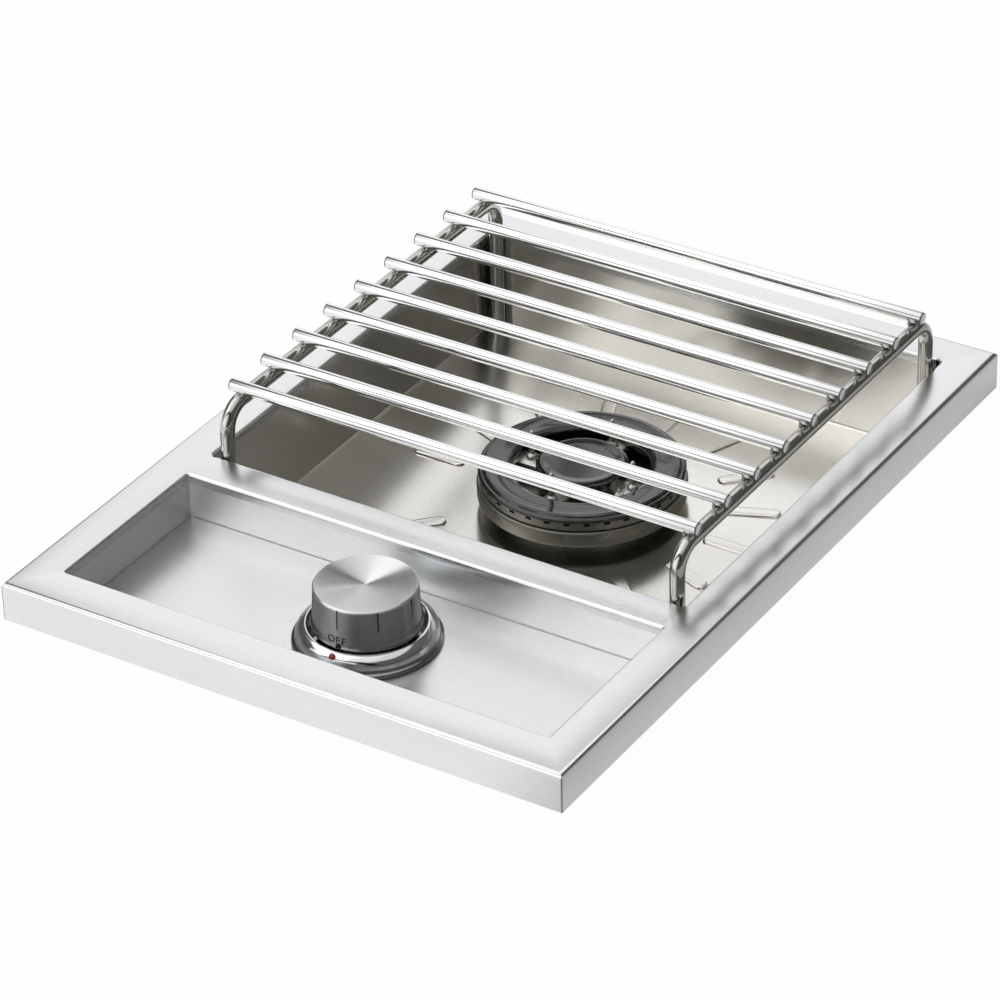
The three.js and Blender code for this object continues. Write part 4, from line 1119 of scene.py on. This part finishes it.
@dataclass
class RingBurner:
    """The cast cup, the flame crown with its ports, arms and posts, the two caps and the electrode."""

    steps: int = 192
    outer_ports: Ports = Ports(61.6, 70.1, 72.0, 32, 3.0, 192)
    inner_ports: Ports = Ports(26.4, 72.2, 74.2, 16, 2.5, 96)
    arm_radius_in: float = 22.0
    arm_radius_out: float = 57.0
    arm_width: float = 10.5
    arm_height: float = 3.8
    arm_z: float = 66.1
    post_place: float = 35.2
    post_radius: float = 1.7
    post_top: float = 88.0
    electrode_place: float = 34.5
    electrode_turn: float = -19.8

    def cup(self) -> None:
        """Turns the burner cup with its recessed foot and neck."""
        profile = [
            (0.0, 47.8), (22.0, 47.8), (22.0, 49.3), (51.0, 49.3, 0.6), (51.0, 55.4), (56.0, 55.4),
            (62.2, 55.6, 0.5), (63.5, 57.2, 0.5), (63.5, 65.4, 0.4), (62.6, 66.4, 0.3), (60.3, 66.4),
            (60.3, 58.0), (0.0, 58.0),
        ]
        piece = Workpiece.turned("cup", profile, 0.0, BURNER_Y, self.steps)
        piece.finish("root", Palette.ALLOY, "burner_cup", FINE_ANGLE)

    def arm(self) -> Workpiece:
        """Casts one arm with its boss and post.

        Returns:
            The arm that points along X.
        """
        middle = ((self.arm_radius_in + self.arm_radius_out) / 2, BURNER_Y, self.arm_z)
        size = (self.arm_radius_out - self.arm_radius_in, self.arm_width, self.arm_height)
        arm = Workpiece.block("arm", size, middle)
        arm.pick(Pick.FACES, lambda _, normal: normal.z > 0.9).inset(1.6, 1.0)
        for side, flare in ((1, 1.5), (-1, 1.25)):
            arm.pick(Pick.FACES, lambda _, normal: side * normal.x > 0.9).scale((1.0, flare, 1.0), middle)
        arm.round_edges(0.6)
        radius, top = self.post_radius, self.post_top
        profile = [
            (0.0, 66.0), (4.2, 66.0), (3.4, 71.2, 0.8), (radius, 72.6, 0.6), (radius, 76.0),
            (1.35, top - 1.6), (1.5, top - 0.8, 0.4), (0.7, top, 0.3), (0.0, top),
        ]
        arm.take_in(Workpiece.turned("post", profile, self.post_place, BURNER_Y, 24))
        return arm

    def crown(self) -> None:
        """Builds the flame crown: two ported rings, four arms and four slender posts."""
        outer = [
            (52.6, 66.7), (57.4, 63.7), (59.6, 63.7), (59.6, 66.7), (61.3, 66.7, 0.3), (61.6, 67.2),
            (61.6, 70.1), (61.6, 72.0), (61.2, 72.3), (52.6, 72.3), (52.6, 66.7),
        ]
        inner = [
            (21.4, 62.2), (26.0, 62.2, 0.4), (26.4, 62.8), (26.4, 72.2), (26.4, 74.2), (26.1, 74.6),
            (21.4, 74.6), (21.4, 62.2),
        ]
        ring = self.outer_ports.ring("crown", outer)
        ring.take_in(self.inner_ports.ring("hub", inner))
        ring.finish("crown", Palette.ALLOY, "flame_crown", FINE_ANGLE)
        arms = self.arm().around("crown_arms", BURNER_Y, (0.0, 90.0, 180.0, 270.0))
        # The arms take the lighter copy of the alloy, which is painted light.
        arms.finish("crown", Palette.LIT_ALLOY, angle=35.0)

    def caps(self) -> None:
        """Turns the two enamelled caps with their rolled rims."""
        outer = [
            (41.0, 68.6), (43.2, 68.6), (43.2, 72.6), (61.4, 72.6), (62.6, 73.0, 0.3), (62.6, 74.2, 0.5),
            (61.2, 75.1, 0.4), (60.0, 75.0, 0.2), (59.4, 75.9, 0.3), (57.6, 76.4, 0.5), (56.4, 76.1),
            (50.0, 76.1), (45.2, 76.2, 0.4), (43.2, 75.6, 0.5), (41.4, 74.0, 0.4), (41.0, 72.6), (41.0, 68.6),
        ]
        inner = [
            (0.0, 72.3), (19.0, 72.3), (19.0, 74.9), (26.8, 74.9), (27.8, 75.3, 0.3), (27.8, 76.2, 0.3),
            (26.4, 76.7), (25.9, 77.4, 0.3), (25.2, 78.2, 0.4), (23.8, 78.1, 0.5), (20.0, 77.5, 1.0),
            (8.0, 77.2, 2.0), (0.0, 77.2),
        ]
        for name, node, profile, steps in (
                ("large_cap", "outer_cap", outer, self.steps), ("small_cap", "inner_cap", inner, 128)):
            piece = Workpiece.turned(name, profile, 0.0, BURNER_Y, steps)
            piece.finish(name, Palette.CAP, node, FINE_ANGLE)

    def electrode(self) -> None:
        """Turns the ceramic electrode and its wire tip."""
        turn = math.radians(self.electrode_turn)
        x, y = self.electrode_place * math.cos(turn), BURNER_Y + self.electrode_place * math.sin(turn)
        profile = [
            (0.0, 32.8), (2.6, 32.8, 0.4), (2.6, 69.6, 0.6), (2.2, 71.0, 0.6), (0.8, 71.4), (0.75, 73.6, 0.3),
            (0.3, 74.2), (0.0, 74.2),
        ]
        Workpiece.turned("electrode", profile, x, y, 32).finish("root", Palette.CERAMIC, "ignition_electrode")

    def build(self) -> None:
        """Builds the whole burner."""
        self.cup()
        self.crown()
        self.caps()
        self.electrode()


@dataclass
class Control:
    """The knob with its marks, the chrome bezel, the red indicator and the stem's spring."""

    steps: int = 192
    top: float = 122.8
    base: float = 97.0
    side_low: float = 31.05
    side_high: float = 30.0
    tick_count: int = 8
    tick_start: float = -88.8
    tick_low: float = 108.6
    tick_high: float = 121.8
    tick_width: float = 0.9
    tick_depth: float = 0.5
    tick_sunk: float = 0.15
    tick_lean: float = 0.22
    letter_size: float = 6.3
    letter_z: float = 100.6
    letter_height: float = 0.06
    letter_proud: float = 0.08
    letter_lean: float = 0.045
    letter_turns: tuple[float, float, float] = (-96.1, -88.2, -81.4)
    spring_radius: float = 5.4
    spring_wire: float = 0.9
    spring_pitch: float = 2.0
    spring_turns: int = 4
    spring_low: float = 62.7
    spring_keep: float = 0.66

    def side_radius(self, z: float) -> float:
        """Returns the radius of the knob's side at a level."""
        share = (z - self.base - 4.0) / (self.top - self.base - 4.8)
        return self.side_low - (self.side_low - self.side_high) * share

    def knob(self) -> None:
        """Turns the knob's shell from the inside of its foot to the middle of its top."""
        top, base = self.top, self.base
        profile = [
            (0.0, top - 1.4), (28.6, top - 1.4), (29.7, base), (31.8, base, 0.2), (32.0, base + 0.9, 0.4),
            (31.3, base + 2.2, 0.8), (self.side_low, base + 4.0), (self.side_high, top - 0.8, 0.15),
            (29.2, top, 0.15), (24.0, top - 0.16), (12.0, top - 0.52), (0.0, top - 0.88),
        ]
        piece = Workpiece.turned("knob", profile, 0.0, KNOB_Y, self.steps)
        piece.finish("knob", Palette.KNOB, "knob_shell", 20.0)

    def ticks(self) -> None:
        """Sets the thin dark index lines into the knob's side."""
        middle = (self.tick_low + self.tick_high) / 2
        size = (self.tick_depth, self.tick_width, self.tick_high - self.tick_low)
        mark = Workpiece.block("tick", size, (self.side_radius(middle) - self.tick_sunk, KNOB_Y, middle))
        for side in (1, -1):
            mark.pick(Pick.FACES, lambda _, normal: side * normal.z > 0.9).move(x=-self.tick_lean * side)
        mark.round_edges(0.12)
        turns = [self.tick_start + 360.0 / self.tick_count * i for i in range(self.tick_count)]
        mark.around("knob_ticks", KNOB_Y, turns).finish("knob", Palette.MARK)

    def letter(self, sign: str, turn: float) -> Workpiece:
        """Sets one letter on the knob's side.

        Args:
            sign: The letter.
            turn: Its place round the knob, in degrees.

        Returns:
            The letter.
        """
        Workpiece.clear()
        bpy.ops.object.text_add()
        letter = bpy.context.active_object
        letter.data.body = sign
        letter.data.size = self.letter_size * MM
        letter.data.align_x = "CENTER"
        letter.data.extrude = self.letter_height * MM
        letter.data.resolution_u = 6
        bpy.ops.object.convert(target="MESH")
        angle = math.radians(turn)
        radius = self.side_radius(self.letter_z) + self.letter_proud
        outward = Vector((math.cos(angle), math.sin(angle), self.letter_lean)).normalized()
        across = Vector((-math.sin(angle), math.cos(angle), 0.0))
        place = metres(radius * math.cos(angle), KNOB_Y + radius * math.sin(angle), self.letter_z)
        pose = Matrix((across, outward.cross(across), outward)).transposed().to_4x4()
        letter.matrix_world = Matrix.Translation(place) @ pose
        return Workpiece("knob_word")

    def lettering(self) -> None:
        """Marks the closed position with the plain word for it, and a dot under it."""
        word, *others = [self.letter(sign, turn) for sign, turn in zip("OFF", self.letter_turns)]
        word.take_in(*others)
        word.merge()
        word.finish("knob", Palette.MARK)
        dot = Workpiece.disc("knob_dot", 1.8, 1.0, (1.6, KNOB_Y - 31.2, 98.9), 24, (0.05, -1.0, 0.15))
        dot.round_edges(0.1)
        dot.finish("knob", Palette.MARK)

    def bezel(self) -> None:
        """Turns the chrome bezel and sets the indicator into its slope."""
        profile = [
            (20.0, 86.3), (42.7, 86.3), (43.2, 86.9, 0.3), (43.2, 88.1, 0.5), (42.4, 88.9, 0.4),
            (41.5, 89.2, 0.3), (41.1, 91.4, 1.0), (39.9, 94.6, 1.6), (37.8, 96.7, 1.3), (35.5, 97.8, 0.8),
            (34.6, 97.8, 0.3), (34.3, 96.9, 0.2), (34.3, 87.3), (20.0, 87.3), (20.0, 86.3),
        ]
        bezel = Workpiece.turned("bezel", profile, 0.0, KNOB_Y, self.steps)
        bezel.finish("root", Palette.CHROME, "knob_bezel", FINE_ANGLE)
        dot = Workpiece.disc("indicator", 1.9, 1.2, (1.9, KNOB_Y - 38.5, 96.5), 32, (0.03, -0.7, 0.7))
        dot.round_edges(0.35, 3)
        dot.finish("root", Palette.RED, "bezel_indicator")

    def spring(self) -> None:
        """Winds the stem's return spring, which on the real burner flattens as the knob is pushed in."""
        wire = self.spring_wire / 2
        piece = Workpiece.ring("return_spring", wire, (self.spring_radius, 0.0, 0.0), 8, ALONG_Y)
        piece.modify(
            "SCREW", steps=24, iterations=self.spring_turns, screw_offset=self.spring_pitch * MM, axis="Z")
        bpy.ops.mesh.select_all(action="SELECT")
        bpy.ops.mesh.fill_holes(sides=0)
        bpy.ops.mesh.select_all(action="SELECT")
        piece.move(y=KNOB_Y, z=self.spring_low + wire)
        piece.merge()
        piece.face_outwards()
        piece.finish("plug", Palette.ZINC, "stem_spring")
        foot = metres(0.0, KNOB_Y, self.spring_low)
        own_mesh(piece.obj)

    def build(self) -> None:
        """Builds spring, knob, marks, bezel and indicator."""
        self.spring()
        self.knob()
        self.ticks()
        self.lettering()
        self.bezel()


@dataclass
class Underside:
    """The CAD nodes whose shape is right, each with its own finish."""

    casing: str = "casing_shell"
    alloy: str = "injector_holder outer_feed_tube inner_feed_tube"
    brass: str = (
        "electrode_terminal valve_stem valve_plug valve_body inlet_nipple inner_lock_nut outer_lock_nut "
        "outer_jet inner_jet")
    zinc: str = (
        "valve_lock_nut valve_bracket left_bezel_screw right_bezel_screw supply_pipe "
        "casing_nut_1 casing_nut_2 casing_nut_3 casing_nut_4 "
        "burner_screw_1 burner_screw_2 burner_screw_3 burner_screw_4")
    plastic: str = "knob_core piezo_igniter ignition_lead"
    ceramic: str = "piezo_button"

    def build(self) -> None:
        """Paints the nodes."""
        for coat, names in (
                (Palette.CASING, self.casing), (Palette.ALLOY, self.alloy), (Palette.BRASS, self.brass),
                (Palette.ZINC, self.zinc), (Palette.PLASTIC, self.plastic), (Palette.CERAMIC, self.ceramic)):
            for name in names.split():
                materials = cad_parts[name].data.materials
                materials.clear()
                materials.append(coat.material())
                LOG.info("%s keeps its shape and gets %s", name, coat.name)


@dataclass
class Studio:
    """The camera, the lamp, the pale worktop and the white surroundings."""

    camera_at: Spot = (1284.44, -2009.62, 1602.87)
    look: Spot = (-0.457769, 0.709675, -0.535546)
    roll: float = -1.55
    lens: float = 173.646
    lamp_at: Spot = (-500.0, -200.0, 1500.0)
    lamp_side: float = 1800.0
    lamp_aim: float = 100.0
    lamp_power: float = 2.0
    worktop_half: float = 2600.0
    worktop_z: float = 89.9
    hole_x: float = 174.0
    hole_y: float = 240.0
    seen_white: float = 0.97
    mirrored_white: float = 0.8
    painted_shadow_dimming: float = 0.62
    room_light: float = 0.05
    room_rise: float = 0.09
    wall_top: float = 43.5
    wall_light: float = 0.92
    softboxes: Sequence[tuple[Spot, float, float, float]] = (
        ((-0.12, -0.12, 0.98), 41.0, 45.0, 1.15), ((-0.45, -0.84, 0.42), 36.0, 40.0, 1.4))
    stripe: float = -0.458
    stripe_dimming: float = 0.45
    seam: float = -0.665
    seam_width: float = 0.095

    def camera(self) -> None:
        """Puts the camera where the photograph was taken from."""
        bpy.ops.object.camera_add(location=metres(*self.camera_at))
        camera = bpy.context.active_object
        camera.name = "photo_camera"
        camera.data.lens = self.lens
        camera.data.sensor_width = 36.0
        camera.data.clip_end = 50.0
        facing = Vector(self.look).to_track_quat("-Z", "Y").to_matrix()
        camera.rotation_euler = (facing @ Matrix.Rotation(math.radians(self.roll), 3, "Z")).to_euler()
        bpy.context.scene.camera = camera

    def worktop(self) -> None:
        """Lays the pale worktop that the skirt sits on, with its cut-out."""
        at = (0.0, 0.0, self.worktop_z)
        piece = Workpiece.plate("worktop", 2 * self.worktop_half, 2 * self.worktop_half, at)
        piece.take_in(Workpiece.plate("cut_out", 2 * self.hole_x, 2 * self.hole_y, at))
        piece.pick(Pick.FACES, lambda *_: True).open_up()
        bpy.ops.mesh.select_all(action="SELECT")
        bpy.ops.mesh.bridge_edge_loops()
        piece.face_outwards()
        piece.clear()
        piece.obj.data.materials.append(self.worktop_paint())

    def worktop_paint(self) -> bpy.types.Material:
        """Paints the worktop white to the camera and in mirrors, with a painted shadow right of the burner in
        mirrors, and clear from below.

        Returns:
            The material.
        """
        paint = bpy.data.materials.new("pale worktop")
        shade = Shade(paint)
        seen = shade.add("ShaderNodeLightPath", output="Is Camera Ray")
        mirrored = seen.sibling("Is Glossy Ray").most(seen.sibling("Is Transmission Ray"))
        plain = shade.add("ShaderNodeBsdfDiffuse", {"Color": (0.9, 0.9, 0.9, 1.0)})
        # Painted shadow: in mirrors the worktop's glow is dimmed to the right of the burner, where the
        # object's shadow falls.
        painted_shadow_mask = shade.axes(shade.place())[0].beyond(0.0, 120.0, 240.0)
        bright = seen + mirrored * (1.0 - painted_shadow_mask * self.painted_shadow_dimming)
        glow = shade.add("ShaderNodeEmission", {"Color": (1.0, 1.0, 1.0, 1.0), "Strength": bright})
        share = seen * self.seen_white + mirrored * self.mirrored_white
        mixed = shade.add("ShaderNodeMixShader", {0: share, 1: plain, 2: glow})
        under = shade.add("ShaderNodeNewGeometry", output="Backfacing")
        clear = shade.add("ShaderNodeBsdfTransparent")
        mixed = shade.add("ShaderNodeMixShader", {0: under, 1: mixed, 2: clear})
        shade.add("ShaderNodeOutputMaterial", {"Surface": mixed})
        return paint

    def lamp(self) -> None:
        """Hangs the one soft lamp, which faces the burner."""
        bpy.ops.object.light_add(type="AREA", location=metres(*self.lamp_at))
        lamp = bpy.context.active_object
        lamp.name = "key_softbox"
        lamp.data.shape = "RECTANGLE"
        lamp.data.size = lamp.data.size_y = self.lamp_side * MM
        lamp.data.energy = self.lamp_power
        aim = Vector(metres(0.0, 0.0, self.lamp_aim)) - lamp.location
        lamp.rotation_euler = aim.to_track_quat("-Z", "Y").to_euler()

    def world(self) -> None:
        """Surrounds the burner with a dim room, a lit wall at the back left and two round softboxes.

        Each softbox has its direction, the angles to which it is full and at which it ends, and its light.
        Both are dimmed away from a stripe of the room.
        """
        world = bpy.data.worlds.new("studio room")
        bpy.context.scene.world = world
        shade = Shade(world)
        way = shade.add("ShaderNodeTexCoord", output="Generated")
        across, deep, high = shade.axes(way)
        wall_low, wall_high = (math.sin(math.radians(self.wall_top + side * 2)) for side in SIDES)
        aside = (across * 0.84 + deep * 0.542 - 0.03).size()
        wall = (1.0 - aside.rise(0.19, 0.32)) * deep.rise(0.2, 0.35) * (1.0 - high.rise(wall_low, wall_high))
        room = high.rise(-0.4, 1.0) * self.room_rise + self.room_light + wall * self.wall_light
        boxes = []
        for facing, inner, outer, light in self.softboxes:
            aim = {0: way, 1: Vector(facing).normalized()}
            near = shade.add("ShaderNodeVectorMath", aim, "Value", operation="DOT_PRODUCT")
            boxes.append(near.rise(math.cos(math.radians(outer)), math.cos(math.radians(inner))) * light)
        beside = (across - self.stripe).size().rise(0.24, 0.4)
        room = room + boxes[0].most(boxes[1]) * (1.0 - beside * self.stripe_dimming)
        seam = (deep - self.seam).size().rise(self.seam_width * 0.5, self.seam_width)
        room = room * (seam * 0.95 + 0.05).most(1.0 - high.rise(0.3, 0.4))
        seen = shade.add("ShaderNodeLightPath", output="Is Camera Ray")
        strength = seen + (1.0 - seen) * room
        tint = shade.blend(strength * 2.0, (1.0, 0.97, 0.84, 1.0), (1.0, 1.0, 1.0, 1.0))
        glow = shade.add("ShaderNodeBackground", {"Color": tint, "Strength": strength})
        shade.add("ShaderNodeOutputWorld", {"Surface": glow})

    def build(self) -> None:
        """Builds camera, worktop, lamp and surroundings."""
        self.camera()
        self.worktop()
        self.lamp()
        self.world()


def main() -> None:
    """Builds every part of the burner in order, then the studio round it."""
    logging.basicConfig(level=logging.INFO, format="%(name)s: %(message)s")
    bpy.context.scene.view_settings.view_transform = "Standard"
    for part in (Body(), Grate(), RingBurner(), Control(), Underside(), Studio()):
        LOG.info("building %s", type(part).__name__)
        part.build()
    Workpiece.clear()


if __name__ == "__main__":
    main()
